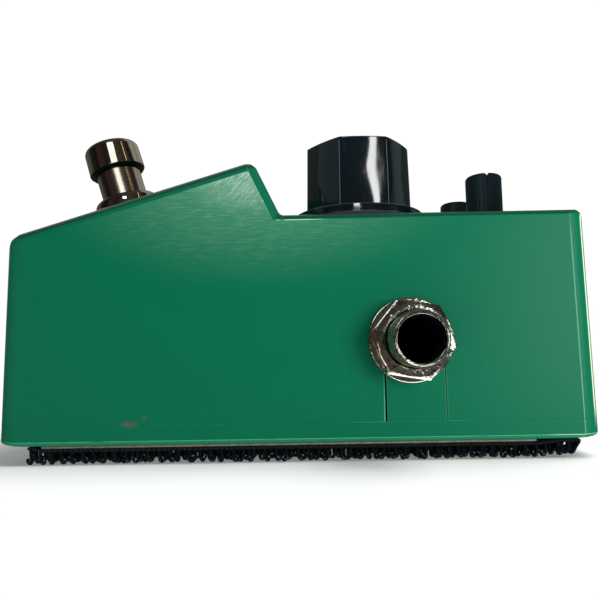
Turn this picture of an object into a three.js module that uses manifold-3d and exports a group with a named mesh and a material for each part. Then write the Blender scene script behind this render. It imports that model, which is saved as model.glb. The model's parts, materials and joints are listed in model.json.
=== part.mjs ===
// A mini guitar effects pedal as an assembly of separate parts, in millimetres, +Z up.
// +X runs from the foot end to the control end, and the input jack is on the -Y side.
// The origin is under the middle of the case, on the surface that the hook tape rests on.
import * as THREE from 'three';
import { mergeVertices } from 'three/addons/utils/BufferGeometryUtils.js';
import Module from 'manifold-3d';

const wasm = await Module();
wasm.setup();

// ---- Driving dimensions. Heights called "up" are measured from the plate's underside. ----
const GAP = 0.1; // between parts that touch
const ROUND = 12; // half the number of sides of a circle in an extruded outline
const SIDES = 24; // sides of a turned part

const TAPE = { length: 84.5, width: 36.6, middleX: 0.75, glue: 0.5, backing: 0.7, thickness: 2.9 };
const PLATE_Z = TAPE.thickness; // height of the plate's underside above the surface

const CASE = {
  halfLength: 46.5, halfWidth: 19, wall: 2.2, seam: 3, cornerRadius: 3, edgeRadius: 1.3,
  endDraft: 0.004, sideDraft: Math.tan(THREE.MathUtils.degToRad(1)),
  slopeAngle: THREE.MathUtils.degToRad(16.77), slopeFoot: 32.74,
  peakX: -6.65, stepX: -2.26, panelUp: 35.54,
};
const SCREW = { x: 41.2, y: 13.9, bossRadius: 3.2, bossUp: 12, headRadius: 2.8, radius: 1.3, length: 8 };

const SWITCH = {
  alongX: -30.72, stemRadius: 4.08, capRadius: 5.04, capLow: 11.37, capHigh: 16.87,
  bushRadius: 5.85, bushHigh: 5.96, bushLow: -7, bore: 4.35, nutRadius: 8.05, body: 17,
};
const DRIVE = {
  x: 11.77, facets: 7, facetTurn: 0.0475, facetRadius: 9.96, facetLow: 40.4, taper: 0.0203,
  top: 51.7, skirtRadius: 12.05, skirtTop: 38.87, panelGap: 0.4, shaftRadius: 3,
};
const SMALL = {
  x: 32.91, y: 9.29, radius: 3.03, top: 43.59, slot: 0.6, slotDepth: 1.5, toneTurn: -5, levelTurn: 70,
};
const LED = { x: 28.5, radius: 1.5, high: 1.5 };
const JACK = {
  inputX: 17.52, outputX: 3, up: 15.29, tip: 9.28, barrel: 4.1, mouth: 3.85, bore: 3.3, hole: 4.5,
  washerHigh: 0.98, washerRadius: 6.55, nutHigh: 3.53, nutRadius: 6.51, nutTurn: -9.4,
  slotLow: -4.12, slotHigh: 5.28, tongueGap: 0.25, depth: 22.3, body: 12,
};
const POWER = { up: 28.4, nose: 4.6, bore: 2.9, pin: 1.05, noseX: 46.2, width: 8.6, height: 9.3 };
const BOARD = { low: 22, thick: 1.6, startX: -8, endX: 43.9, halfWidth: 15 };
const POT = { length: 10.6, width: 9.4, height: 6.6 };

const slopeUp = (x) => CASE.slopeFoot + (x + CASE.halfLength) * Math.tan(CASE.slopeAngle);
const boardTop = BOARD.low + BOARD.thick;

// ---- Materials: each mesh has its own ----
const finish = (color, roughness, metalness) => () =>
  new THREE.MeshStandardMaterial({ color, roughness, metalness });
const greenPaint = finish('#0f6b4c', 0.45, 0.1);
const blackPlastic = finish('#101b20', 0.25, 0);
const dullBlack = finish('#14181a', 0.7, 0);
const chrome = finish('#b9b7b0', 0.18, 1);
const nickel = finish('#9c9890', 0.35, 1);
const steel = finish('#8d9094', 0.4, 1);
const copper = finish('#b87a4b', 0.35, 1);
const zinc = finish('#75797c', 0.5, 0.9);
const glue = finish('#8e8a7c', 0.8, 0);
const boardGreen = finish('#1c4f2e', 0.55, 0);
const bluePlastic = finish('#1e4fa0', 0.5, 0);
const whitePaint = finish('#e8e8e4', 0.6, 0);
const redLens = finish('#b01818', 0.15, 0);
const sleeveBlue = finish('#22324f', 0.4, 0);
const filmBrown = finish('#7c2a1c', 0.45, 0);

// ---- Solids: booleans and plain shapes ----
function solid(geometry) {
  const bare = geometry.clone();
  bare.deleteAttribute('normal');
  bare.deleteAttribute('uv');
  const merged = mergeVertices(bare, 1e-4);
  return new wasm.Manifold(new wasm.Mesh({
    numProp: 3,
    vertProperties: merged.attributes.position.array,
    triVerts: new Uint32Array(merged.index.array),
  }));
}

// The base with pieces added, trimmed to what lies inside each envelope, then with pieces removed.
function carve(base, { add = [], within = [], remove = [] }) {
  let made = solid(base);
  for (const piece of add) made = made.add(solid(piece));
  for (const envelope of within) made = made.intersect(solid(envelope));
  for (const piece of remove) made = made.subtract(solid(piece));
  const mesh = made.getMesh();
  const geometry = new THREE.BufferGeometry();
  geometry.setAttribute('position', new THREE.BufferAttribute(mesh.vertProperties, 3));
  geometry.setIndex(new THREE.BufferAttribute(mesh.triVerts, 1));
  geometry.computeVertexNormals();
  return geometry;
}

function box(xLow, xHigh, yLow, yHigh, zLow, zHigh) {
  const geometry = new THREE.BoxGeometry(xHigh - xLow, yHigh - yLow, zHigh - zLow);
  return geometry.translate((xLow + xHigh) / 2, (yLow + yHigh) / 2, (zLow + zHigh) / 2);
}

// A block centred on (x, y).
function block(x, y, lengthX, lengthY, zLow, zHigh) {
  return box(x - lengthX / 2, x + lengthX / 2, y - lengthY / 2, y + lengthY / 2, zLow, zHigh);
}

// A round rod along Z. A second radius makes it a cone with that radius at the top.
function rod(radius, zLow, zHigh, x = 0, y = 0, topRadius = radius) {
  const geometry = new THREE.CylinderGeometry(topRadius, radius, zHigh - zLow, SIDES);
  return geometry.rotateX(Math.PI / 2).translate(x, y, (zLow + zHigh) / 2);
}

// An outline extruded along Z.
function slab(shape, zLow, zHigh) {
  const settings = { depth: zHigh - zLow, bevelEnabled: false, curveSegments: ROUND };
  return new THREE.ExtrudeGeometry(shape, settings).translate(0, 0, zLow);
}

// A profile of [radius, height] pairs turned about Z.
function turned(profile) {
  const points = profile.map(([radius, height]) => new THREE.Vector2(radius, height));
  return new THREE.LatheGeometry(points, SIDES).rotateX(Math.PI / 2);
}

function polygonShape(sides, radius, turn = 0) {
  const corners = Array.from({ length: sides }, (_, i) => {
    const angle = turn + (i * 2 * Math.PI) / sides;
    return new THREE.Vector2(radius * Math.cos(angle), radius * Math.sin(angle));
  });
  return new THREE.Shape(corners);
}

function withHole(shape, radius) {
  shape.holes.push(new THREE.Path().absarc(0, 0, radius, 0, 2 * Math.PI, true));
  return shape;
}

const circleShape = (radius) => new THREE.Shape().absarc(0, 0, radius, 0, 2 * Math.PI);
const washer = (outer, inner, low, high) => slab(withHole(circleShape(outer), inner), low, high);
const hexNut = (outer, inner, low, high, turn = 0) =>
  slab(withHole(polygonShape(6, outer, turn), inner), low, high);

// ---- Outlines of the case ----
// Moves each edge of a counter-clockwise outline inwards and meets the edges again.
function insetOutline(points, distance) {
  const count = points.length;
  return points.map((point, i) => {
    const before = points[(i + count - 1) % count];
    const after = points[(i + 1) % count];
    const first = point.clone().sub(before).normalize();
    const second = after.clone().sub(point).normalize();
    const firstNormal = new THREE.Vector2(-first.y, first.x);
    const secondNormal = new THREE.Vector2(-second.y, second.x);
    const bisector = firstNormal.add(secondNormal);
    const reach = (2 * distance) / bisector.lengthSq();
    return point.clone().addScaledVector(bisector, reach);
  });
}

// A closed outline whose corners are rounded by the given radii.
function roundedShape(points, radii) {
  const count = points.length;
  const shape = new THREE.Shape();
  points.forEach((corner, i) => {
    const toLast = points[(i + count - 1) % count].clone().sub(corner).normalize();
    const toNext = points[(i + 1) % count].clone().sub(corner).normalize();
    const setback = radii[i] / Math.tan(toLast.angleTo(toNext) / 2);
    const start = corner.clone().addScaledVector(toLast, setback);
    const end = corner.clone().addScaledVector(toNext, setback);
    if (i === 0) shape.moveTo(start.x, start.y);
    else shape.lineTo(start.x, start.y);
    if (radii[i] > 0) shape.quadraticCurveTo(corner.x, corner.y, end.x, end.y);
  });
  shape.closePath();
  return shape;
}

// The side view of the case, from the foot end's lower corner round to its upper one.
function sideShape(inset) {
  const endTop = CASE.halfLength - CASE.endDraft * CASE.panelUp;
  const corners = [
    new THREE.Vector2(-CASE.halfLength, CASE.seam + GAP),
    new THREE.Vector2(CASE.halfLength, CASE.seam + GAP),
    new THREE.Vector2(endTop, CASE.panelUp),
    new THREE.Vector2(CASE.stepX, CASE.panelUp),
    new THREE.Vector2(CASE.peakX, slopeUp(CASE.peakX)),
    new THREE.Vector2(-endTop, slopeUp(-endTop)),
  ];
  const radii = [0, 0, 2.2, 0.9, 1.7, 2.8];
  if (inset === 0) return roundedShape(corners, radii);
  const inner = insetOutline(corners, inset);
  inner[0].y = CASE.seam - inset;
  inner[1].y = CASE.seam - inset;
  return roundedShape(inner, [0, 0, 0.6, 3, 0.6, 0.6]);
}

// The side view given its width, narrowing upwards, with rounded long edges when edgeRadius isn't 0.
function sideBody(inset, edgeRadius) {
  const halfWidth = CASE.halfWidth - inset;
  const geometry = new THREE.ExtrudeGeometry(sideShape(inset), {
    depth: 2 * (halfWidth - edgeRadius),
    bevelEnabled: edgeRadius > 0,
    bevelSize: edgeRadius,
    bevelThickness: edgeRadius,
    bevelOffset: -edgeRadius,
    bevelSegments: 3,
    curveSegments: 4,
  });
  geometry.translate(0, 0, edgeRadius - halfWidth).rotateX(Math.PI / 2);
  const position = geometry.attributes.position;
  for (let i = 0; i < position.count; i += 1) {
    const narrowing = 1 - (CASE.sideDraft * position.getZ(i)) / halfWidth;
    position.setY(i, position.getY(i) * narrowing);
    position.setZ(i, position.getZ(i) + PLATE_Z);
  }
  return geometry;
}

// The plan view: a rounded rectangle between two heights, drawn in with the case's draft.
function planBody(inset, low, high) {
  const xReach = CASE.halfLength - inset;
  const yReach = CASE.halfWidth - inset;
  const radius = Math.max(CASE.cornerRadius - inset, 0.8);
  const signs = [[-1, -1], [1, -1], [1, 1], [-1, 1]];
  const corners = signs.map(([x, y]) => new THREE.Vector2(x * xReach, y * yReach));
  const outline = roundedShape(corners, corners.map(() => radius)).getPoints(5);
  const settings = { depth: 1, bevelEnabled: false };
  const geometry = new THREE.ExtrudeGeometry(new THREE.Shape(outline), settings);
  const position = geometry.attributes.position;
  for (let i = 0; i < position.count; i += 1) {
    const up = position.getZ(i) < 0.5 ? low : high;
    position.setX(i, position.getX(i) * (1 - (CASE.endDraft * up) / xReach));
    position.setY(i, position.getY(i) * (1 - (CASE.sideDraft * up) / yReach));
    position.setZ(i, up + PLATE_Z);
  }
  return geometry;
}

// ---- The assembly and its tilted or turned stations ----
const pedal = new THREE.Group();

function addPart(name, geometry, material, station = pedal) {
  const mesh = new THREE.Mesh(geometry, material());
  mesh.name = name;
  station.add(mesh);
}

// The footswitch's station: its +Z stands square on the slope.
const switchStation = new THREE.Group();
switchStation.position.set(SWITCH.alongX, 0, slopeUp(SWITCH.alongX) + PLATE_Z);
switchStation.rotation.y = -CASE.slopeAngle;
switchStation.updateMatrix();
pedal.add(switchStation);

// A jack's station: its +Z points out of the side wall. A half turn gives the one on the +Y side.
const sideReach = CASE.halfWidth - CASE.sideDraft * JACK.up;
function jackStation(x, side) {
  const station = new THREE.Group();
  station.position.set(x, side * sideReach, JACK.up + PLATE_Z);
  station.rotation.set(Math.PI / 2, 0, side > 0 ? Math.PI : 0, 'ZYX');
  station.updateMatrix();
  pedal.add(station);
  return station;
}
const inputStation = jackStation(JACK.inputX, -1);
const outputStation = jackStation(JACK.outputX, 1);

// The power socket's station: its +Z points out of the end wall at the control end.
const powerStation = new THREE.Group();
powerStation.position.set(0, 0, POWER.up + PLATE_Z);
powerStation.rotation.set(Math.PI / 2, 0, Math.PI / 2, 'ZYX');
powerStation.updateMatrix();
pedal.add(powerStation);

const placed = (geometry, station) => geometry.applyMatrix4(station.matrix);

// ---- Case ----
const screwPlaces = [[-1, -1], [1, -1], [1, 1], [-1, 1]].map(([a, b]) => [a * SCREW.x, b * SCREW.y]);

// The notch below a jack: the wall's open slot up to the round hole.
function jackNotch(station, margin) {
  const slot = box(
    JACK.slotLow + margin, JACK.slotHigh - margin,
    -JACK.up - 1, 0, -CASE.wall - 1, 1,
  );
  return placed(slot, station);
}

function casing() {
  const bosses = screwPlaces.map(([x, y]) =>
    rod(SCREW.bossRadius, PLATE_Z + CASE.seam + GAP, PLATE_Z + SCREW.bossUp, x, y));
  const hollow = carve(sideBody(CASE.wall, 0), {
    within: [planBody(CASE.wall, -1, 60)],
    remove: bosses,
  });
  const up = (height) => PLATE_Z + height;
  const roof = CASE.panelUp - CASE.wall - 2;
  const floor = CASE.panelUp + 2;
  return carve(sideBody(0, CASE.edgeRadius), {
    within: [planBody(0, 0, 60)],
    remove: [
      hollow,
      ...screwPlaces.map(([x, y]) => rod(SCREW.radius + 0.3, up(0), up(SCREW.bossUp - 1), x, y)),
      placed(rod(SWITCH.bushRadius + 0.4, -8, 3), switchStation),
      rod(DRIVE.shaftRadius + 0.8, up(roof), up(floor), DRIVE.x, 0),
      ...[-1, 1].map((side) => rod(SMALL.radius + 0.4, up(roof), up(floor), SMALL.x, side * SMALL.y)),
      rod(LED.radius + 0.75, up(roof), up(floor), LED.x, 0),
      placed(rod(POWER.nose + 0.4, CASE.halfLength - 6, CASE.halfLength + 2), powerStation),
      ...[inputStation, outputStation].flatMap((station) => [
        placed(rod(JACK.hole, -CASE.wall - 1, 1), station),
        jackNotch(station, 0),
      ]),
    ],
  });
}

// The plate carries a tongue that closes each jack's notch from below.
function bottomPlate() {
  const slabUnder = planBody(0, 0, CASE.seam);
  const tongue = (station) => placed(box(
    JACK.slotLow + JACK.tongueGap, JACK.slotHigh - JACK.tongueGap,
    -JACK.up + 1, -3, -CASE.wall, 1,
  ), station);
  return carve(slabUnder, {
    add: [tongue(inputStation), tongue(outputStation)],
    within: [planBody(0, 0, 30)],
    remove: [
      placed(rod(JACK.hole, -CASE.wall - 1, 2), inputStation),
      placed(rod(JACK.hole, -CASE.wall - 1, 2), outputStation),
      ...screwPlaces.flatMap(([x, y]) => [
        rod(SCREW.radius + 0.3, PLATE_Z - 1, PLATE_Z + CASE.seam + 1, x, y),
        rod(SCREW.headRadius + 0.3, PLATE_Z - 0.1, PLATE_Z + 2, x, y, SCREW.radius + 0.3),
      ]),
    ],
  });
}

// A countersunk screw with a cross recess, driven up into a boss.
function plateScrew(x, y) {
  const headHeight = 1.6;
  const low = PLATE_Z + 0.15;
  const recess = [[3, 0.7], [0.7, 3]].map(([a, b]) => block(x, y, a, b, low - 1, low + 0.9));
  return carve(rod(SCREW.headRadius, low, low + headHeight, x, y, SCREW.radius), {
    add: [rod(SCREW.radius, low + headHeight - 0.4, low + SCREW.length, x, y)],
    remove: recess,
  });
}

addPart('casing', casing(), greenPaint);
addPart('bottom_plate', bottomPlate(), greenPaint);
screwPlaces.forEach(([x, y], i) => addPart(`plate_screw_${i + 1}`, plateScrew(x, y), zinc));

// ---- Hook tape stuck under the plate: glue, woven backing, and the field of hooks ----
function tapeLayer(zLow, zHigh, trim) {
  return block(TAPE.middleX, 0, TAPE.length - trim, TAPE.width - trim, zLow, zHigh);
}
const glueLow = PLATE_Z - TAPE.glue;
const backingLow = glueLow - TAPE.backing;
addPart('hook_tape_glue', tapeLayer(glueLow + GAP / 2, PLATE_Z - GAP / 2, 0.6), glue);
addPart('hook_tape_backing', tapeLayer(backingLow + GAP / 2, glueLow - GAP / 2, 0), dullBlack);
addPart('hook_tape_hooks', tapeLayer(0, backingLow - GAP / 2, 0.8), dullBlack);

// ---- Footswitch ----
function plunger() {
  const { stemRadius, capRadius, capLow, capHigh, bushLow } = SWITCH;
  return turned([
    [0, bushLow - 5], [1.5, bushLow - 5], [1.5, bushLow], [stemRadius, bushLow],
    [stemRadius, capLow], [capRadius - 0.45, capLow], [capRadius + 0.05, capLow + 0.7],
    [capRadius - 0.05, capHigh - 1.2], [capRadius - 0.4, capHigh - 0.4],
    [capRadius - 1.2, capHigh], [0, capHigh],
  ]);
}

function bushing() {
  const { bushRadius, bushHigh, bushLow, bore } = SWITCH;
  return turned([
    [bore, bushLow], [bushRadius, bushLow], [bushRadius, bushHigh - 0.7],
    [bushRadius - 0.35, bushHigh - 0.15], [bushRadius - 0.8, bushHigh], [bore, bushHigh],
    [bore, bushLow],
  ]);
}

// The steel frame is a shallow cap over the moulded body, with the bushing standing on it.
const frameTop = SWITCH.bushLow - GAP;
function switchFrame() {
  const outer = SWITCH.body + 1.6;
  const inner = SWITCH.body + 0.4;
  return carve(block(0, 0, outer, outer, frameTop - 7, frameTop), {
    remove: [
      block(0, 0, inner, inner, frameTop - 9, frameTop - 0.8),
      rod(SWITCH.stemRadius + 0.5, frameTop - 2, frameTop + 1),
    ],
  });
}

const bodyTop = frameTop - 1;
const bodyLow = bodyTop - 12;
const wellLow = bodyTop - 8.7;
function switchBody() {
  return carve(block(0, 0, SWITCH.body, SWITCH.body, bodyLow, bodyTop), {
    remove: [rod(SWITCH.stemRadius + 0.5, wellLow, bodyTop + 1)],
  });
}

// The return spring stands in the body's well, round the plunger's pin.
function returnSpring() {
  const turns = 5;
  const stepsPerTurn = 10;
  const low = wellLow + 0.6;
  const high = SWITCH.bushLow - 0.6;
  const points = Array.from({ length: turns * stepsPerTurn + 1 }, (_, i) => {
    const angle = (i / stepsPerTurn) * 2 * Math.PI;
    const height = low + ((high - low) * i) / (turns * stepsPerTurn);
    return new THREE.Vector3(2.7 * Math.cos(angle), 2.7 * Math.sin(angle), height);
  });
  const wire = new THREE.CatmullRomCurve3(points);
  const section = polygonShape(6, 0.35);
  const settings = { steps: turns * stepsPerTurn, extrudePath: wire, bevelEnabled: false };
  return new THREE.ExtrudeGeometry(section, settings);
}

const lugPlaces = [-4.7, 0, 4.7].flatMap((x) => [-4, 4].map((y) => [x, y]));
const switchBoardTop = bodyLow - 2;
function switchBoard() {
  return carve(block(0, 0, SWITCH.body, SWITCH.body, switchBoardTop - 1.2, switchBoardTop), {
    remove: lugPlaces.map(([x, y]) => block(x, y, 2.4, 1.4, switchBoardTop - 3, switchBoardTop + 1)),
  });
}

const threadHole = SWITCH.bushRadius + 0.2;
addPart('footswitch_plunger', plunger(), chrome, switchStation);
addPart('footswitch_bushing', bushing(), chrome, switchStation);
addPart('footswitch_washer', washer(8.3, threadHole, 0.1, 0.7), chrome, switchStation);
addPart('footswitch_nut', hexNut(SWITCH.nutRadius, threadHole, 0.8, 2.9), chrome, switchStation);
addPart('footswitch_lock_washer', washer(8.6, threadHole, -2.9, -2.3), steel, switchStation);
addPart('footswitch_lock_nut', hexNut(SWITCH.nutRadius, threadHole, -5.2, -3), steel, switchStation);
addPart('footswitch_frame', switchFrame(), steel, switchStation);
addPart('footswitch_body', switchBody(), bluePlastic, switchStation);
addPart('footswitch_spring', returnSpring(), steel, switchStation);
addPart('footswitch_board', switchBoard(), boardGreen, switchStation);
lugPlaces.forEach(([x, y], i) =>
  addPart(`footswitch_lug_${i + 1}`, block(x, y, 1.8, 0.7, bodyLow - 4.6, bodyLow - GAP), copper,
    switchStation));

// ---- Drive control: a faceted knob with a skirt, on its potentiometer ----
const controlZ = (up) => PLATE_Z + up;
const knobCavity = DRIVE.skirtTop - 0.4;
function driveKnob() {
  const { facets, facetRadius, facetLow, taper, top, skirtRadius, skirtTop, panelGap } = DRIVE;
  const low = skirtTop - 0.5;
  const radiusAt = (up) => facetRadius - (up - facetLow) * taper;
  const prism = new THREE.CylinderGeometry(radiusAt(top), radiusAt(low), top - low, facets);
  // A cylinder's first corner is on +Z before it is stood up, which is the -Y side after.
  prism.rotateY(DRIVE.facetTurn + Math.PI / facets).rotateX(Math.PI / 2);
  prism.translate(0, 0, (top + low) / 2);
  const skirtLow = CASE.panelUp + panelGap;
  const skirt = turned([
    [0, skirtLow], [skirtRadius + 0.25, skirtLow], [skirtRadius + 0.25, skirtTop - 1.4],
    [skirtRadius, skirtTop - 0.25], [skirtRadius - 0.3, skirtTop], [0, skirtTop],
  ]);
  return carve(skirt, {
    add: [prism],
    remove: [
      rod(8.2, skirtLow - 1, knobCavity),
      rod(DRIVE.shaftRadius + 0.25, skirtLow - 1, top - 2.5),
    ],
  }).translate(DRIVE.x, 0, PLATE_Z);
}

function drivePot() {
  const { x, shaftRadius } = DRIVE;
  const low = boardTop + 0.2;
  return carve(block(x, 0, 13, 14, controlZ(low), controlZ(low + 7)), {
    add: [rod(shaftRadius + 0.5, controlZ(low + 6), controlZ(CASE.panelUp + 2.6), x, 0)],
    remove: [rod(shaftRadius + 0.15, controlZ(low + 1), controlZ(CASE.panelUp + 4), x, 0)],
  });
}

// A painted line from the middle of the knob's top out to the second facet round from the -Y side.
function drivePointer() {
  const line = block(0, -5.2, 0.9, 6, controlZ(DRIVE.top + GAP / 2), controlZ(DRIVE.top + 0.25));
  return line.rotateZ(DRIVE.facetTurn + (4 * Math.PI) / DRIVE.facets).translate(DRIVE.x, 0, 0);
}

const driveThread = DRIVE.shaftRadius + 0.65;
addPart('drive_knob', driveKnob(), blackPlastic);
addPart('drive_pointer', drivePointer(), whitePaint);
addPart('drive_shaft', rod(DRIVE.shaftRadius, controlZ(boardTop + 1.5), controlZ(DRIVE.top - 2.8),
  DRIVE.x, 0), dullBlack);
addPart('drive_pot', drivePot(), zinc);
addPart('drive_washer', washer(5.6, driveThread, controlZ(CASE.panelUp + GAP),
  controlZ(CASE.panelUp + 0.6)).translate(DRIVE.x, 0, 0), nickel);
addPart('drive_nut', hexNut(5.7, driveThread, controlZ(CASE.panelUp + 0.7),
  controlZ(CASE.panelUp + 2.5)).translate(DRIVE.x, 0, 0), nickel);

// ---- Tone and level controls: slotted shafts without knobs ----
function slottedShaft(y, turn) {
  const { x, radius, top, slot, slotDepth } = SMALL;
  const body = turned([
    [0, boardTop + 1.5], [radius, boardTop + 1.5], [radius, top - 0.4],
    [radius - 0.35, top], [0, top],
  ]);
  const cut = block(0, 0, slot, 3 * radius, top - slotDepth, top + 1);
  const shaft = carve(body, { remove: [cut] });
  return shaft.rotateZ(THREE.MathUtils.degToRad(turn)).translate(x, y, PLATE_Z);
}

function smallPot(y) {
  const low = controlZ(boardTop + 0.2);
  return carve(block(SMALL.x, y, POT.length, POT.width, low, low + POT.height), {
    remove: [rod(SMALL.radius + 0.2, low + 1, low + POT.height + 1, SMALL.x, y)],
  });
}

[['tone', -1, SMALL.toneTurn], ['level', 1, SMALL.levelTurn]].forEach(([control, side, turn]) => {
  addPart(`${control}_shaft`, slottedShaft(side * SMALL.y, turn), dullBlack);
  addPart(`${control}_pot`, smallPot(side * SMALL.y), zinc);
});

// ---- Status light between the controls ----
function ledLens() {
  const low = CASE.panelUp - CASE.wall - 0.9;
  const high = CASE.panelUp + LED.high;
  return turned([
    [0, low], [LED.radius + 0.35, low], [LED.radius + 0.35, low + 0.6], [LED.radius, low + 0.6],
    [LED.radius, high - 1], [LED.radius * 0.75, high - 0.35], [LED.radius * 0.35, high - 0.05],
    [0, high],
  ]).translate(LED.x, 0, PLATE_Z);
}

function ledBezel() {
  const face = CASE.panelUp + GAP;
  const inner = LED.radius + 0.1;
  return turned([
    [inner, CASE.panelUp - CASE.wall], [inner + 0.45, CASE.panelUp - CASE.wall],
    [inner + 0.45, face], [LED.radius + 1.4, face], [LED.radius + 1.1, face + 0.6],
    [inner, face + 0.7], [inner, CASE.panelUp - CASE.wall],
  ]).translate(LED.x, 0, PLATE_Z);
}

addPart('led_lens', ledLens(), redLens);
addPart('led_bezel', ledBezel(), chrome);
addPart('led_spacer', washer(2.1, 0.9, controlZ(boardTop + 0.2), controlZ(CASE.panelUp - CASE.wall - 1))
  .translate(LED.x, 0, 0), dullBlack);

// ---- Jacks ----
function jackBarrel() {
  const { tip, barrel, mouth, bore } = JACK;
  const low = -CASE.wall - 0.5;
  return turned([
    [bore, low], [barrel, low], [barrel, tip - 0.4], [mouth, tip], [bore + 0.1, tip],
    [bore, tip - 0.3], [bore, low],
  ]);
}

// The moulded housing, with a window below for the tip contact.
function jackBody() {
  const front = -CASE.wall - 0.8;
  const half = JACK.body / 2;
  return carve(box(-half, half, -half, half, -JACK.depth, front), {
    remove: [
      rod(JACK.bore, -JACK.depth + 1.1, front + 1),
      box(-1.4, 1.4, -half - 1, 0, -JACK.depth + 1.2, -JACK.depth + 6.2),
    ],
  });
}

// A bent leaf: one leg lies under the housing, the other rises into the bore.
function tipContact() {
  const under = -JACK.body / 2;
  const end = -JACK.depth;
  const leaf = new THREE.Shape([
    [under - 0.9, end + 12], [under - 0.4, end + 12], [under - 0.4, end + 5.4],
    [-2.5, end + 4.2], [-2.5, end + 3.6], [under - 0.4, end + 2.2], [under - 0.4, end + 1.4],
    [under - 0.9, end + 1.4],
  ].map(([y, z]) => new THREE.Vector2(y, z)));
  const geometry = new THREE.ExtrudeGeometry(leaf, { depth: 2, bevelEnabled: false });
  // The outline is drawn in (height, depth) and given its width along X.
  const swap = new THREE.Matrix4().makeBasis(
    new THREE.Vector3(0, 1, 0), new THREE.Vector3(0, 0, 1), new THREE.Vector3(1, 0, 0));
  return geometry.translate(0, 0, -1).applyMatrix4(swap);
}

[['input', inputStation], ['output', outputStation]].forEach(([jack, station]) => {
  const { hole, washerHigh, washerRadius, nutHigh, nutRadius, nutTurn, barrel } = JACK;
  const turn = THREE.MathUtils.degToRad(nutTurn);
  addPart(`${jack}_jack_barrel`, jackBarrel(), nickel, station);
  addPart(`${jack}_jack_washer`, washer(washerRadius, hole, 0.15, washerHigh), nickel, station);
  addPart(`${jack}_jack_nut`, hexNut(nutRadius, barrel + 0.2, washerHigh + GAP, nutHigh, turn), nickel,
    station);
  addPart(`${jack}_jack_body`, jackBody(), dullBlack, station);
  addPart(`${jack}_jack_contact`, tipContact(), copper, station);
});

// ---- Power socket, with its centre pin ----
function powerSocket() {
  const { nose, bore, noseX, width, height, up } = POWER;
  const bodyLow = boardTop + 0.2 - up;
  const body = box(-width / 2, width / 2, bodyLow, bodyLow + height - 0.1, 33.2, 43.7);
  return carve(body, {
    add: [rod(nose, 42.7, noseX)],
    within: [box(-nose - 1, nose + 1, bodyLow, nose + 1, 30, noseX + 1)],
    remove: [rod(bore, 36.5, noseX + 1)],
  });
}
addPart('power_socket', powerSocket(), dullBlack, powerStation);
addPart('power_pin', rod(POWER.pin, 36.8, 44.8), nickel, powerStation);

// ---- Main board and what stands on it ----
const onBoard = controlZ(boardTop + 0.2);
addPart('main_board', box(BOARD.startX, BOARD.endX, -BOARD.halfWidth, BOARD.halfWidth,
  controlZ(BOARD.low), controlZ(boardTop)), boardGreen);
addPart('amplifier_chip', block(22.4, -10, 6.4, 9.6, onBoard, onBoard + 3.4), dullBlack);
addPart('film_capacitor_1', block(22.2, 3.5, 6.4, 2.4, onBoard, onBoard + 6.5), filmBrown);
addPart('film_capacitor_2', block(22.2, -3.5, 6.4, 2.4, onBoard, onBoard + 6.5), filmBrown);
[[-1.2, 9.5, 3.15, 8.5], [-1.2, -9.5, 2.5, 7], [21.8, 10, 2.5, 7]].forEach(([x, y, radius, height], i) =>
  addPart(`electrolytic_capacitor_${i + 1}`, rod(radius, onBoard, onBoard + height, x, y), sleeveBlue));

// The flat cable from the footswitch's board up to its connector on the main board.
const connector = { low: -7.6, high: -4.8, halfWidth: 5, height: 3.6 };
function ribbonCable() {
  const start = new THREE.Vector3(SWITCH.body / 2 - 1.5, 0, switchBoardTop + 0.9);
  start.applyMatrix4(switchStation.matrix);
  const route = new THREE.CatmullRomCurve3([
    start,
    new THREE.Vector3(start.x + 3.6, 0, start.z + 1.2),
    new THREE.Vector3(start.x + 6, 0, start.z + 4.6),
    new THREE.Vector3(connector.low - 1.9, 0, onBoard + 2),
    new THREE.Vector3(connector.low - 0.3, 0, onBoard + 2.1),
  ]);
  const section = new THREE.Shape([[-4, -0.4], [4, -0.4], [4, 0.4], [-4, 0.4]]
    .map(([a, b]) => new THREE.Vector2(a, b)));
  const settings = { steps: 14, extrudePath: route, bevelEnabled: false };
  return new THREE.ExtrudeGeometry(section, settings);
}
addPart('ribbon_connector', box(connector.low, connector.high, -connector.halfWidth,
  connector.halfWidth, onBoard, onBoard + connector.height), dullBlack);
addPart('ribbon_cable', ribbonCable(), dullBlack);

export default pedal;
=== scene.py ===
"""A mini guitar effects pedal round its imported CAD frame: visible pieces, materials, light and camera.

Shapes are worked out in millimetres and written into the meshes in metres. Heights called "up" are measured
from the underside of the bottom plate.
"""

import json
import random
from math import atan2, cos, pi, radians, sin, tan

import bmesh
import bpy
from mathutils import Matrix, Vector


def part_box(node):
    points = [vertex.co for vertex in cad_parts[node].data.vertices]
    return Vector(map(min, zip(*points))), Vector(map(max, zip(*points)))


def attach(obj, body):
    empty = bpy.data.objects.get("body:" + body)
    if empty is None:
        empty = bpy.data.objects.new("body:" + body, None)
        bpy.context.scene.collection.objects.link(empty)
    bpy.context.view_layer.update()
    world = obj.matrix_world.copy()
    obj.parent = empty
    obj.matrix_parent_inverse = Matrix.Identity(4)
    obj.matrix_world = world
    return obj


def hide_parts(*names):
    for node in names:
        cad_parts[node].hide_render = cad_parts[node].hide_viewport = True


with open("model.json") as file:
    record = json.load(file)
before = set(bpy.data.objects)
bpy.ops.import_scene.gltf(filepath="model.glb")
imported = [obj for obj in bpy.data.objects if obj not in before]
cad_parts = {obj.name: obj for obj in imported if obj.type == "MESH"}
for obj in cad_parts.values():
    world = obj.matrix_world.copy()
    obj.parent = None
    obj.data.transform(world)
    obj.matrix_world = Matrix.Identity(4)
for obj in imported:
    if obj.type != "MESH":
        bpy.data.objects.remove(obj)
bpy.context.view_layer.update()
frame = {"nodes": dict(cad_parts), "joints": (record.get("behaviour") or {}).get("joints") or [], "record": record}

MM = 0.001
rng = random.Random(7)


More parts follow.
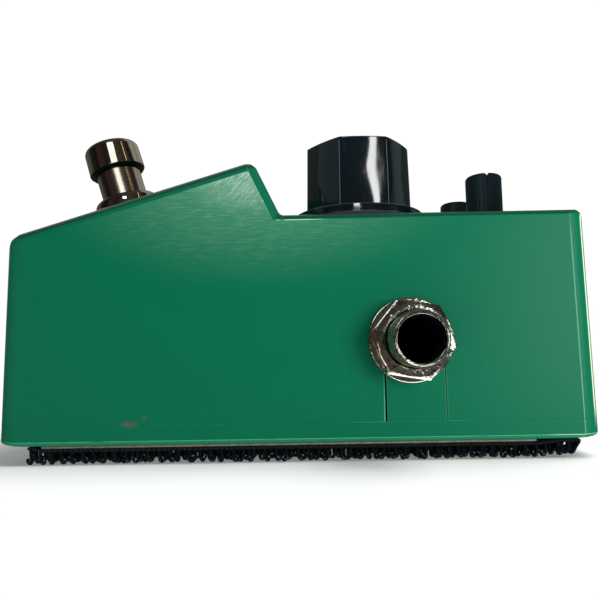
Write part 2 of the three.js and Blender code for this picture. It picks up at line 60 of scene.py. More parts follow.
# ---- Places and sizes taken from the frame, in millimetres ----
def span(node):
    low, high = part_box(node)
    return low / MM, high / MM


def centre(node):
    low, high = span(node)
    return (low + high) / 2


joints = {joint["name"]: joint for joint in frame["joints"]}
plate_low, plate_high = span("bottom_plate")
case_low, case_high = span("casing")
PLATE_Z = plate_low.z
HALF_LENGTH = plate_high.x
HALF_WIDTH = plate_high.y
SEAM = case_low.z - PLATE_Z - 0.1

WALL = 2.2
CORNER = 3.3
SIDE_DRAFT = tan(radians(1))
END_DRAFT = 0.004
PANEL_UP = 35.54
PEAK_X = -6.65
STEP_X = -2.26

press_axis = Vector(joints["footswitch_press"]["axis"])
switch_up = -press_axis
PRESS = joints["footswitch_press"]["range_m"][1] / MM
SLOPE = atan2(press_axis.x, -press_axis.z)
SWITCH_ORIGIN = centre("footswitch_washer") - switch_up * 0.4


def slope_up(x):
    """Height of the sloping face above the plate's underside."""
    return SWITCH_ORIGIN.z - PLATE_Z + (x - SWITCH_ORIGIN.x) * tan(SLOPE)


def side_at(up):
    """How far the drafted side stands from the middle."""
    return HALF_WIDTH - SIDE_DRAFT * up


def station(origin, turn=Matrix()):
    return Matrix.Translation(origin) @ turn


def jack_station(node, side):
    place = centre(node)
    turn = Matrix.Rotation(0 if side < 0 else pi, 4, "Z") @ Matrix.Rotation(pi / 2, 4, "X")
    return station((place.x, side * side_at(place.z - PLATE_Z), place.z), turn)


switch_station = station(SWITCH_ORIGIN, Matrix.Rotation(-SLOPE, 4, "Y"))
input_station = jack_station("input_jack_barrel", -1)
output_station = jack_station("output_jack_barrel", 1)
power_turn = Matrix.Rotation(pi / 2, 4, "Z") @ Matrix.Rotation(pi / 2, 4, "X")
power_station = station((0, 0, centre("power_pin").z), power_turn)


def joint_station(name):
    x, y, _ = Vector(joints[name]["pos_m"]) / MM
    return station((x, y, PLATE_Z))


drive_station = joint_station("drive_turn")
tone_station = joint_station("tone_turn")
level_station = joint_station("level_turn")
led_place = centre("led_bezel")
led_station = station((led_place.x, led_place.y, PLATE_Z + PANEL_UP))


# ---- Shape helpers ----
def rounded(corners, closed=True, steps=6):
    """The points of an outline whose corners, given as (x, y, radius), are arcs."""
    count = len(corners)
    points = []
    for i, (x, y, radius) in enumerate(corners):
        corner = Vector((x, y))
        if radius == 0 or (not closed and i in (0, count - 1)):
            points.append(corner)
            continue
        to_last = (Vector(corners[i - 1][:2]) - corner).normalized()
        to_next = (Vector(corners[(i + 1) % count][:2]) - corner).normalized()
        half = to_last.angle(to_next) / 2
        middle = corner + (to_last + to_next).normalized() * (radius / sin(half))
        start = corner + to_last * (radius / tan(half)) - middle
        end = corner + to_next * (radius / tan(half)) - middle
        sweep = start.angle(end)
        for step in range(steps + 1):
            t = step / steps
            points.append(middle + (start * sin((1 - t) * sweep) + end * sin(t * sweep)) / sin(sweep))
    return points


def lathe(bm, profile, segments=96, closed=False):
    """Turns a profile of (radius, height) about Z and returns the new faces."""
    rings = []
    for radius, height in profile:
        if radius < 1e-5:
            rings.append([bm.verts.new((0, 0, height))])
            continue
        angles = [2 * pi * i / segments for i in range(segments)]
        rings.append([bm.verts.new((radius * cos(a), radius * sin(a), height)) for a in angles])
    faces = []
    for low, high in zip(rings, rings[1:] + ([rings[0]] if closed else [])):
        for i in range(segments):
            j = (i + 1) % segments
            around = [low[i % len(low)], low[j % len(low)], high[j % len(high)], high[i % len(high)]]
            corners = list(dict.fromkeys(around))
            if len(corners) > 2:
                faces.append(bm.faces.new(corners))
    return faces


def turned(profile, segments=96, closed=False, index=0):
    bm = bmesh.new()
    paint_faces(lathe(bm, profile, segments, closed), index)
    return bm


def extruded(outline, low, high):
    bm = bmesh.new()
    bottom = [bm.verts.new((x, y, low)) for x, y in outline]
    top = [bm.verts.new((x, y, high)) for x, y in outline]
    bm.faces.new(bottom[::-1])
    bm.faces.new(top)
    for i in range(len(outline)):
        j = (i + 1) % len(outline)
        bm.faces.new((bottom[i], bottom[j], top[j], top[i]))
    return bm


def boxed(x_span, y_span, z_span):
    (left, right), (near, far) = x_span, y_span
    return extruded([(left, near), (right, near), (right, far), (left, far)], *z_span)


def grid(bm, rows):
    """Joins rows of points, each a closed ring, into quads."""
    made = [[bm.verts.new(point) for point in row] for row in rows]
    faces = []
    for low, high in zip(made, made[1:]):
        for i in range(len(low)):
            j = (i + 1) % len(low)
            faces.append(bm.faces.new((low[i], low[j], high[j], high[i])))
    return made, faces


def skin(bm, rows):
    """Joins rows of points into a closed body and returns its side faces."""
    made, faces = grid(bm, rows)
    bm.faces.new(made[0][::-1])
    bm.faces.new(made[-1])
    return faces


def skinned(rows):
    bm = bmesh.new()
    skin(bm, rows)
    return bm


def paint_faces(faces, index):
    for face in faces:
        face.material_index = index


def sharpen(mesh, degrees=35):
    mesh.shade_smooth()
    mesh.set_sharp_from_angle(angle=radians(degrees))


def make_object(name, bm, materials, place=Matrix()):
    """Writes a bmesh drawn in millimetres at a station into a new object in metres."""
    bmesh.ops.recalc_face_normals(bm, faces=bm.faces)
    bm.transform(Matrix.Scale(MM, 4) @ place)
    mesh = bpy.data.meshes.new(name)
    bm.to_mesh(mesh)
    bm.free()
    for material in materials:
        mesh.materials.append(material)
    made = bpy.data.objects.new(name, mesh)
    bpy.context.scene.collection.objects.link(made)
    return made


def bake(made):
    """Applies an object's modifiers to its mesh."""
    graph = bpy.context.evaluated_depsgraph_get()
    old = made.data
    mesh = bpy.data.meshes.new_from_object(made.evaluated_get(graph), depsgraph=graph)
    made.modifiers.clear()
    made.data = mesh
    mesh.name = old.name
    bpy.data.meshes.remove(old)


def boolean(made, cutters, operation="DIFFERENCE"):
    """Cuts, joins or trims an object with others, which are used up."""
    for cutter in cutters:
        modifier = made.modifiers.new("cut", "BOOLEAN")
        modifier.operation = operation
        modifier.solver = "EXACT"
        modifier.object = cutter
    bake(made)
    for cutter in cutters:
        bpy.data.objects.remove(cutter, do_unlink=True)


def round_edges(made, width, degrees=35, segments=3):
    modifier = made.modifiers.new("rounding", "BEVEL")
    modifier.width = width * MM
    modifier.segments = segments
    modifier.limit_method = "ANGLE"
    modifier.angle_limit = radians(degrees)
    modifier.harden_normals = False
    bake(made)


def settle(made, body, slot, *nodes, degrees=35, weighted=True):
    """Gives a finished piece its shading and body and hides the CAD nodes that it stands for. The slot is not
    used.
    """
    sharpen(made.data, degrees)
    if weighted:
        made.modifiers.new("normals", "WEIGHTED_NORMAL").keep_sharp = True
    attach(made, body)
    if nodes:
        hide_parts(*nodes)


def turned_piece(name, profile, place, slot, node, segments=64, closed=False):
    """A turned piece of one material, which rides with the case."""
    made = make_object(name, turned(profile, segments, closed), [materials[slot]], place)
    settle(made, "pedal", slot, node, degrees=50, weighted=False)


# ---- Material helpers ----
def linear(red, green, blue):
    """Turns a colour given as it looks on a screen, 0 to 255, into the linear values that shaders use."""
    values = [c / 255 for c in (red, green, blue)]
    return [c / 12.92 if c <= 0.04045 else ((c + 0.055) / 1.055) ** 2.4 for c in values] + [1.0]


def feed(tree, socket, value):
    if isinstance(value, bpy.types.NodeSocket):
        tree.links.new(value, socket)
    else:
        socket.default_value = value


def add_node(tree, kind, feeds, **settings):
    """Adds a node with the given settings, its inputs fed by sockets or values."""
    node = tree.nodes.new(kind)
    for key, value in settings.items():
        setattr(node, key, value)
    for key, value in feeds.items():
        feed(tree, node.inputs[key], value)
    return node


class Surface:
    """A node material. Texture positions are in millimetres in the piece's own space."""

    def __init__(self, name, color, roughness, metallic=0.0, specular=0.5):
        self.material = bpy.data.materials.new(name)
        self.material.use_nodes = True
        self.tree = self.material.node_tree
        self.shader = self.tree.nodes["Principled BSDF"]
        self.color = linear(*color)
        self.roughness = roughness
        self.height = None
        self.shader.inputs["Metallic"].default_value = metallic
        self.shader.inputs["Specular IOR Level"].default_value = specular
        coordinates = self.add("ShaderNodeTexCoord", {})
        self.place = self.scaled(coordinates["Object"], (MM, MM, MM))
        self.facing = coordinates["Normal"]

    def add(self, kind, feeds, **settings):
        return add_node(self.tree, kind, feeds, **settings).outputs

    def scaled(self, vector, size, turn=(0, 0, 0)):
        """Turned axes along which one unit is as long as size says."""
        feeds = {"Vector": vector, "Scale": size, "Rotation": turn}
        return self.add("ShaderNodeMapping", feeds, vector_type="TEXTURE")["Vector"]

    def noise(self, size, stretch=(1, 1, 1), turn=(0, 0, 0), detail=3.0, roughness=0.6):
        """Noise from 0 to 1 whose patches are about size millimetres across, drawn out by stretch."""
        place = self.scaled(self.place, [size * s for s in stretch], turn)
        feeds = {"Vector": place, "Scale": 1, "Detail": detail, "Roughness": roughness}
        return self.add("ShaderNodeTexNoise", feeds)["Fac"]

    def speckles(self, size, share):
        """Small round dots: 1 in the middle of those cells whose random value is below share."""
        feeds = {"Vector": self.scaled(self.place, (size, size, size)), "Scale": 1}
        cells = self.add("ShaderNodeTexVoronoi", feeds)
        near = self.step(cells["Distance"], 0.34, 0.18)
        pick = self.add("ShaderNodeSeparateColor", {"Color": cells["Color"]})["Red"]
        return self.all_of(near, self.calc("LESS_THAN", pick, share))

    def axis(self, letter, vector=None):
        return self.add("ShaderNodeSeparateXYZ", {"Vector": vector or self.place})[letter]

    def calc(self, operation, first, second=0.0, third=0.0):
        feeds = {0: first, 1: second, 2: third}
        return self.add("ShaderNodeMath", feeds, operation=operation)["Value"]

    def step(self, value, start, end):
        """Rises smoothly from 0 at start to 1 at end, which may be the lower of the two."""
        feeds = {"Value": value, "From Min": min(start, end), "From Max": max(start, end),
                 "To Min": float(start > end), "To Max": float(start < end)}
        return self.add("ShaderNodeMapRange", feeds, interpolation_type="SMOOTHSTEP")["Result"]

    def band(self, value, start, end):
        """1 between two values and 0 outside, with soft ends."""
        edge = (end - start) / 3
        return self.all_of(self.step(value, start, start + edge), self.step(value, end, end - edge))

    def reach(self, x, z, length, height):
        """Distance from a point in the side view, with 1 at the given half length and half height."""
        along = self.calc("DIVIDE", self.calc("SUBTRACT", self.axis("X"), x), length)
        across = self.calc("DIVIDE", self.calc("SUBTRACT", self.axis("Z"), z), height)
        squares = self.calc("ADD", self.all_of(along, along), self.all_of(across, across))
        return self.calc("SQRT", squares)

    def all_of(self, *masks):
        result = masks[0]
        for mask in masks[1:]:
            result = self.calc("MULTIPLY", result, mask)
        return result

    def tint(self, color, amount, *masks):
        """Lays a screen colour over what is there, where all the masks say."""
        feeds = {"Factor": self.all_of(*masks, amount), 6: self.color, 7: linear(*color)}
        self.color = self.add("ShaderNodeMix", feeds, data_type="RGBA")[2]

    def roughen(self, mask, amount):
        self.roughness = self.calc("MULTIPLY_ADD", mask, amount, self.roughness)

    def raise_by(self, mask, millimetres):
        """Adds to the bump's height."""
        added = self.all_of(mask, millimetres)
        self.height = added if self.height is None else self.calc("ADD", self.height, added)

    def finish(self):
        limited = self.calc("MAXIMUM", self.calc("MINIMUM", self.roughness, 1.0), 0.03)
        results = {"Base Color": self.color, "Roughness": limited}
        if self.height is not None:
            feeds = {"Strength": 1.0, "Distance": MM, "Height": self.height}
            results["Normal"] = self.add("ShaderNodeBump", feeds)["Normal"]
        for key, value in results.items():
            feed(self.tree, self.shader.inputs[key], value)
        return self.material


# ---- Materials ----
MINT = (150, 216, 182)
DULL_RED = (92, 78, 66)
RIM_SHADE = (2, 44, 30)
# Marks on the input side, as (x, up, half length, half height, colour).
SCUFFS = [(-25.6, 3.2, 1.7, 0.6, DULL_RED), (-23.4, 4.2, 0.6, 0.25, DULL_RED),
          (-5.0, 37.8, 0.16, 0.2, MINT)]


def green_paint():
    """Powder coat: slight orange peel, matt, with scratches and nicks. It is pale where rubbing has worn it and
    where a painted sheen, the lamp's glossy reflection, lies on the flat sides towards the peak; it has painted
    highlights along some edges, painted light bounced from the floor on its lower rounding, and painted shade on
    the top rim.
    """
    s = Surface("green_paint", (4, 101, 71), 0.33, specular=0.075)
    s.tint((3, 94, 66), 0.35, s.noise(9, detail=4))
    x, z = s.axis("X"), s.axis("Z")
    normal_x, normal_z = s.axis("X", s.facing), s.axis("Z", s.facing)
    flat_side = s.step(s.calc("ABSOLUTE", s.axis("Y", s.facing)), 0.99, 0.9992)
    near_side = s.step(s.axis("Y", s.facing), -0.3, -0.5)

    brushed = s.noise(0.2, stretch=(12, 1, 1), detail=3)
    slanted = s.noise(0.2, stretch=(9, 1, 1), turn=(0, radians(-52), 0), detail=2)
    # The pale patches on the flat sides are rubbing and scratches, and also a painted sheen: the lamp's glossy
    # reflection, strongest near the peak.
    rub_wear_and_sheen = s.all_of(flat_side, s.step(s.reach(PEAK_X + 1, case_high.z - 1, 36, 20), 1.05, 0.0))
    worn = s.all_of(flat_side, s.step(s.reach(PEAK_X - 0.5, case_high.z - 2.5, 11, 6.5), 1.05, 0.0))
    s.tint((98, 160, 128), 0.5, rub_wear_and_sheen)
    s.tint((150, 196, 170), 0.35, rub_wear_and_sheen, s.step(brushed, 0.45, 0.75))
    s.tint((172, 204, 184), 0.46, worn)
    s.tint((196, 222, 204), 0.5, worn, s.step(slanted, 0.52, 0.66))
    s.tint((54, 124, 92), 0.6, worn, s.step(slanted, 0.5, 0.38))
    s.tint((16, 92, 66), 0.5, rub_wear_and_sheen, s.speckles(0.5, 0.12))
    s.tint((60, 136, 108), 0.2, flat_side, s.step(slanted, 0.7, 0.78))

    # A mint line along the top edge's ridge beside the step: a painted highlight, broken up into chips.
    upper_ridge_highlight = s.band(normal_z, 0.02, 0.16)
    by_the_step = s.all_of(s.step(x, 6.0, 1.5), s.step(x, STEP_X - 0.9, STEP_X - 0.3))
    chips = s.step(s.noise(1.6), 0.3, 0.46)
    s.tint((190, 236, 210), 0.95, near_side, upper_ridge_highlight, chips, by_the_step)
    # Along the bottom: the lower rounding is painted lighter as light bounced from the floor, with a painted
    # highlight line on its ridge that grows whiter towards the +X end.
    lower_ridge_highlight = s.all_of(near_side, s.band(normal_z, -0.27, -0.05), s.step(s.noise(4), 0.25, 0.46))
    s.tint((36, 122, 90), 0.9, near_side, s.step(normal_z, -0.05, -0.4))
    s.tint((88, 178, 142), 0.6, lower_ridge_highlight)
    s.tint((176, 214, 190), 0.6, lower_ridge_highlight, s.step(x, 37, 40))
    # A pale line where the near side turns into the rounding at the +X end: a painted reflection.
    s.tint((98, 172, 138), 0.6, near_side, s.band(normal_x, 0.03, 0.11), s.step(s.noise(5), 0.25, 0.45))
    # Low on the near side's +X corner rounding: a pale painted reflection, and a grey painted reflection where the
    # rounding turns towards the end face.
    rear_corner_reflection = s.all_of(near_side, s.step(x, 40, 42), s.step(z, PLATE_Z + 1, PLATE_Z + 6))
    s.tint((212, 232, 190), 0.9, rear_corner_reflection, s.band(normal_x, 0.62, 0.77))
    s.tint((120, 128, 116), 0.8, rear_corner_reflection, s.step(normal_x, 0.77, 0.8))
    near_rim = s.step(s.axis("Y"), 1.4 - side_at(PANEL_UP), 1.0 - side_at(PANEL_UP))
    s.tint(RIM_SHADE, 0.65, near_rim, s.step(x, STEP_X, STEP_X + 1), s.step(normal_z, 0.24, 0.285))
    s.tint(RIM_SHADE, 0.68, near_rim, s.step(x, STEP_X + 1, STEP_X), s.step(normal_z, 0.36, 0.43))
    for place_x, up, length, height, color in SCUFFS:
        mark = s.step(s.reach(place_x, up + PLATE_Z, length, height), 1.0, 0.3)
        s.tint(color, 0.8, near_side, mark, s.step(s.noise(0.5), 0.25, 0.45))
    s.roughen(rub_wear_and_sheen, 0.14)
    s.roughen(s.noise(0.6), 0.06)
    s.raise_by(s.noise(1.1, detail=2), 0.01)
    s.raise_by(brushed, 0.0012)
    return s.finish()


def edge_wear_and_highlight():
    """The paint's thin edge along seams and cut-outs: pale where rubbing has worn it, with painted highlights in
    stretches along it.
    """
    s = Surface("edge_wear_and_highlight", (12, 104, 76), 0.4, specular=0.1)
    x = s.axis("X")
    patches = s.step(s.noise(2.2, detail=4), 0.42, 0.6)
    # Pale patches of wear and painted highlight on the -X half; a steady painted highlight from 4 mm on, darker
    # again from 24 mm.
    s.tint((64, 140, 108), 0.8, patches, s.band(x, -34, -4))
    s.tint((72, 162, 128), 0.7, s.band(x, 4, 30))
    s.tint((26, 112, 84), 0.8, s.step(x, 24, 30))
    s.raise_by(s.noise(0.4), 0.01)
    return s.finish()


def cast_metal():
    s = Surface("cast_metal", (96, 99, 100), 0.6, metallic=0.8)
    s.tint((60, 63, 64), 0.7, s.noise(3, detail=5))
    s.roughen(s.noise(0.8), 0.2)
    s.raise_by(s.noise(0.5, detail=4), 0.03)
    return s.finish()


def gloss_black():
    """Polished phenolic black with a blue cast, faintly wavy, with a few hairline scratches."""
    s = Surface("gloss_black", (6, 17, 23), 0.07, specular=0.5)
    s.tint((10, 24, 31), 0.6, s.noise(4, detail=3))
    s.roughen(s.step(s.noise(0.3, stretch=(1, 1, 9)), 0.5, 0.8), 0.1)
    skirt_low = span("drive_knob")[0].z
    s.roughen(s.step(s.axis("Z"), skirt_low + 1.6, skirt_low + 1.35), 0.55)
    s.raise_by(s.noise(3.5, stretch=(1, 1, 1.6), detail=0), 0.05)
    s.raise_by(s.noise(0.25, detail=2), 0.0008)
    return s.finish()


def matte_black():
    """Satin moulded plastic."""
    s = Surface("matte_black", (17, 38, 48), 0.33)
    s.tint((28, 50, 62), 0.5, s.noise(1.2, detail=4))
    s.roughen(s.noise(0.35), 0.18)
    s.raise_by(s.noise(0.18, detail=3), 0.006)
    return s.finish()


def plated(name, color, worn, roughness, dents=0.0):
    """Plated metal with cloudy tarnish, grime, and turning marks round each part."""
    s = Surface(name, color, roughness, metallic=1.0)
    s.tint(worn, 0.8, s.noise(3.2, detail=5))
    s.tint((46, 42, 38), 0.7, s.step(s.noise(0.7, detail=5), 0.52, 0.68))
    s.roughen(s.noise(0.9, detail=4), 0.08)
    s.roughen(s.step(s.noise(0.25), 0.55, 0.8), 0.14)
    s.raise_by(s.noise(0.3, stretch=(4, 1, 1), turn=(0, 0, 0.6), detail=3), 0.02)
    s.raise_by(s.noise(0.8, detail=3), dents)
    return s.finish()


def dark_chrome(name, roughness):
    s = Surface(name, (168, 163, 154), roughness, metallic=1.0)
    s.tint((140, 132, 122), 0.8, s.noise(2.6, detail=4))
    s.roughen(s.step(s.noise(0.5, detail=5), 0.55, 0.85), 0.16)
    s.raise_by(s.noise(2.5, detail=1), 0.01)
    return s.finish()


def glue():
    """Foam glue, squeezed out unevenly and dusty."""
    s = Surface("tape_glue", (154, 156, 140), 0.8)
    s.tint((84, 88, 78), 1.0, s.noise(1.3, detail=5))
    s.tint((60, 66, 60), 0.6, s.step(s.noise(2.4), 0.55, 0.72))
    s.raise_by(s.noise(0.25, detail=4), 0.05)
    return s.finish()


def woven_backing():
    """A plain weave of black nylon."""
    s = Surface("tape_backing", (9, 13, 15), 0.6, specular=0.3)
    thread_pitch = 0.8
    weave = s.all_of(*(s.calc("SINE", s.all_of(s.axis(way), 2 * pi / thread_pitch)) for way in "XY"))
    s.tint((22, 27, 30), 0.6, s.step(weave, 0.0, 0.9))
    s.tint((15, 19, 21), 0.5, s.noise(0.4, detail=4))
    s.raise_by(weave, 0.08)
    return s.finish()


def hook_plastic():
    """Stiff, shiny black nylon monofilament."""
    s = Surface("tape_hooks", (5, 12, 17), 0.1, specular=0.5)
    s.tint((14, 26, 33), 0.5, s.noise(0.5, detail=3))
    s.roughen(s.noise(0.3), 0.08)
    s.raise_by(s.noise(0.2, detail=2), 0.012)
    return s.finish()


def circuit_board():
    """Green solder mask with tracks under it and small pads."""
    s = Surface("circuit_board", (24, 84, 44), 0.35)
    feeds = {"Vector": s.scaled(s.place, (2.9, 1.25, 2.0)), "Scale": 1.0, "Mortar Size": 0.08}
    tracks = s.add("ShaderNodeTexBrick", feeds, offset=0.5, squash=1.0)["Fac"]
    s.tint((58, 128, 68), 0.8, tracks)
    s.tint((196, 176, 120), 1.0, s.speckles(2.54, 0.4))
    s.tint((18, 62, 36), 0.3, s.noise(0.5))
    s.raise_by(tracks, 0.03)
    return s.finish()


def simple(name, color, second, size, roughness):
    """A material for parts inside the case: two tones, uneven gloss and a fine grain."""
    s = Surface(name, color, roughness)
    s.tint(second, 0.6, s.noise(size, detail=4))
    s.roughen(s.noise(size / 3), 0.15)
    s.raise_by(s.noise(size / 4, detail=3), 0.01)
    return s.finish()


def red_lens():
    s = Surface("red_lens", (150, 14, 16), 0.08)
    s.tint((190, 30, 26), 0.5, s.noise(0.8))
    s.shader.inputs["Transmission Weight"].default_value = 0.35
    s.shader.inputs["Subsurface Weight"].default_value = 0.2
    s.shader.inputs["Subsurface Scale"].default_value = MM
    s.raise_by(s.noise(0.5, detail=2), 0.004)
    return s.finish()


def bore_shade():
    """Near-black for the insides of sockets and the footswitch cap's underside: painted shade in hollows."""
    s = Surface("bore_shade", (2, 8, 13), 0.5, specular=0.2)
    s.tint((5, 12, 17), 0.6, s.noise(1.5))
    s.raise_by(s.noise(0.4), 0.01)
    return s.finish()


materials = {
    "green_paint": green_paint(),
    "gloss_black": gloss_black(),
    "matte_black": matte_black(),
    "dark_chrome": dark_chrome("dark_chrome", 0.06),
    "tape_glue": glue(),
    "tape_backing": woven_backing(),
    "tape_hooks": hook_plastic(),
    "circuit_board": circuit_board(),
    "red_lens": red_lens(),
}
for name, *settings in [
    ("worn_nickel", (210, 208, 198), (112, 108, 98), 0.1, 0.075),
    ("steel", (150, 152, 154), (112, 112, 112), 0.3),
    ("zinc", (140, 142, 144), (104, 106, 110), 0.42),
    ("copper", (196, 128, 84), (140, 88, 60), 0.3),
]:
    materials[name] = plated(name, *settings)
for name, *settings in [
    ("blue_plastic", (32, 84, 168), (24, 66, 140), 2.0, 0.4),
    ("white_paint", (232, 232, 226), (206, 206, 198), 0.7, 0.5),
    ("sleeve_blue", (36, 52, 82), (26, 38, 62), 1.5, 0.3),
    ("film_red", (132, 44, 30), (104, 34, 24), 1.2, 0.35),
    ("ribbon_grey", (120, 122, 124), (88, 90, 94), 0.7, 0.5),
]:
    materials[name] = simple(name, *settings)
EDGE_WEAR_AND_HIGHLIGHT = edge_wear_and_highlight()
RAW = cast_metal()
BORE_SHADE = bore_shade()
SATIN = dark_chrome("satin_chrome", 0.2)
PAINTED = [materials["green_paint"], EDGE_WEAR_AND_HIGHLIGHT, RAW]

for part in frame["record"]["subparts"]:
    node = frame["nodes"][part["node"]]
    node.data.materials.clear()
    node.data.materials.append(materials[part["material_slot"]])


# ---- Case ----
SCREW_PLACES = [centre(f"plate_screw_{i}") for i in range(1, 5)]
SEAM_CHAMFER = 0.04
MOUTH = 0.15
JACK_HOLE = 4.5
FOOT_TOP, PEAK_EDGE, STEP_EDGE, REAR_TOP = 2.08, 1.457, 0.85, 1.6
PANEL_LONG, STEP_LONG, SLOPE_LONG = 1.05, 1.6, 2.0
EDGE_SEGMENTS = 8


def case_outline(inset=0.0):
    """Corners of the side view as (x, up, how far its cross edge is bevelled)."""
    end_top = HALF_LENGTH - END_DRAFT * PANEL_UP - inset
    drop = inset / cos(SLOPE)
    return [
        (-HALF_LENGTH + inset, SEAM, 0),
        (HALF_LENGTH - inset, SEAM, 0),
        (end_top, PANEL_UP - inset, REAR_TOP),
        (STEP_X - inset * 1.1, PANEL_UP - inset, STEP_EDGE),
        (PEAK_X - inset * 0.6, slope_up(PEAK_X - inset * 0.6) - drop, PEAK_EDGE),
        (-end_top, slope_up(-end_top) - drop, FOOT_TOP),
    ]


def case_solid(name, inset, rounding):
    """The case's block, sharp or with its edges rounded."""
    bm = bmesh.new()
    bevel = bm.edges.layers.float.new("bevel_weight_edge")
    outline = case_outline(inset)
    count = len(outline)
    sides = []
    for side in (-1, 1):
        corners = [(x, side * (side_at(up) - inset), up + PLATE_Z) for x, up, _ in outline]
        sides.append([bm.verts.new(corner) for corner in corners])
        bm.faces.new(sides[-1])
    for i in range(count):
        j = (i + 1) % count
        bm.faces.new((sides[0][i], sides[1][i], sides[1][j], sides[0][j]))
    along = [0, CORNER, PANEL_LONG, STEP_LONG, SLOPE_LONG, CORNER]
    for i, (_, _, cross) in enumerate(outline):
        bm.edges.get((sides[0][i], sides[1][i]))[bevel] = cross / CORNER
        for ring in sides:
            bm.edges.get((ring[i], ring[(i + 1) % count]))[bevel] = along[i] / CORNER
    made = make_object(name, bm, PAINTED)
    if rounding:
        modifier = made.modifiers.new("rounding", "BEVEL")
        modifier.limit_method = "WEIGHT"
        modifier.width = CORNER * MM
        modifier.segments = EDGE_SEGMENTS
        modifier.use_clamp_overlap = False
        bake(made)
    return made


def hole_cutter(radius, place, depth=6.0):
    """A round cutter whose mouth flares where it meets the surface at height 0."""
    bm = bmesh.new()
    profile = [(0, -depth), (radius, -depth), (radius, -MOUTH), (radius + MOUTH + 1, 1), (0, 1)]
    for face in lathe(bm, profile, segments=64):
        on_mouth = 0.2 < abs(face.normal.z) < 0.95 or face.calc_center_median().z > -MOUTH
        face.material_index = 1 if on_mouth else 2
    return make_object("cutter", bm, PAINTED, place)


UPRIGHT = Matrix.Rotation(pi / 2, 4, "X")
JACK_UP = input_station.translation.z - PLATE_Z
SLOT_LOW, SLOT_HIGH = -4.12, 5.28


def slot_cutter(place):
    """The notch from a jack's hole down to the seam, a little wider at the surface."""
    outline = [(SLOT_LOW - 0.9, 0.9), (SLOT_LOW, -0.06), (SLOT_LOW, -WALL - 1),
               (SLOT_HIGH, -WALL - 1), (SLOT_HIGH, -0.06), (SLOT_HIGH + 0.9, 0.9)]
    bm = extruded(outline, -1.0, JACK_UP + 1.0)
    bm.normal_update()
    for face in bm.faces:
        face.material_index = 1 if 0.2 < abs(face.normal.x) < 0.95 else 2
    return make_object("cutter", bm, PAINTED, place @ UPRIGHT)


def chamfer_rim(made, at_z, width):
    """Chamfers the outer rim at one height and gives the new faces the worn, highlighted edge paint."""
    bm = bmesh.new()
    bm.from_mesh(made.data)
    rim = [e for e in bm.edges if all(abs(v.co.z / MM - at_z) < 1e-3 for v in e.verts)]
    paint_faces(bmesh.ops.bevel(bm, geom=rim, offset=width * MM, segments=1, affect="EDGES")["faces"], 1)
    bm.to_mesh(made.data)
    bm.free()


def build_case():
    shell = case_solid("case_shell", 0.0, True)
    chamfer_rim(shell, PLATE_Z + SEAM, SEAM_CHAMFER)
    hollow = case_solid("hollow", WALL, False)
    for vertex in hollow.data.vertices:
        if vertex.co.z < (PLATE_Z + SEAM + 1) * MM:
            vertex.co.z -= 2 * MM
    bosses = []
    for place in SCREW_PLACES:
        bm = turned([(0, SEAM), (3.2, SEAM), (3.2, 12), (2.4, 12.8), (2.4, 40), (0, 40)], segments=48)
        bosses.append(make_object("boss", bm, PAINTED, station((place.x, place.y, PLATE_Z))))
    boolean(hollow, bosses)

    def on_panel(below):
        return station((below.translation.x, below.translation.y, PLATE_Z + PANEL_UP))

    boss_top = PLATE_Z + 11
    cutters = [hollow]
    cutters += [hole_cutter(1.6, station((place.x, place.y, boss_top)), 10) for place in SCREW_PLACES]
    cutters += [hole_cutter(radius, place) for radius, place in (
        (6.25, switch_station), (3.8, on_panel(drive_station)), (3.43, on_panel(tone_station)),
        (3.43, on_panel(level_station)), (2.25, led_station),
        (4.95, power_station @ Matrix.Translation((0, 0, HALF_LENGTH - 0.12))),
        (JACK_HOLE, input_station), (JACK_HOLE, output_station),
    )]
    boolean(shell, cutters + [slot_cutter(input_station), slot_cutter(output_station)])
    settle(shell, "pedal", "green_paint", "casing")


def plan_row(inset, up, radius):
    """The outline of the plan view at one height, drawn in with the draft."""
    x = HALF_LENGTH - END_DRAFT * up - inset
    y = side_at(up) - inset
    corners = [(-x, -y, radius), (x, -y, radius), (x, y, radius), (-x, y, radius)]
    return [(px, py, up + PLATE_Z) for px, py in rounded(corners, steps=8)]


def tongue(place):
    """The plate's upright tab that closes a notch, its two standing edges chamfered."""
    left_gap, right_gap, low, high = 0.27, 0.12, -JACK_UP + 1.2, -3.0
    outline = [(-WALL, low), (-WALL, high), (high * SIDE_DRAFT, high), (-low * SIDE_DRAFT, low)]
    bm = bmesh.new()
    near, far = [[bm.verts.new((x, y, z)) for z, y in outline]
                 for x in (SLOT_LOW + left_gap, SLOT_HIGH - right_gap)]
    bm.faces.new(near)
    bm.faces.new(far[::-1])
    for i in range(4):
        j = (i + 1) % 4
        bm.faces.new((near[i], near[j], far[j], far[i]))
    edges = [bm.edges.get((end[2], end[3])) for end in (near, far)]
    paint_faces(bmesh.ops.bevel(bm, geom=edges, offset=0.07, segments=1, affect="EDGES")["faces"], 1)
    return make_object("tongue", bm, PAINTED, place)


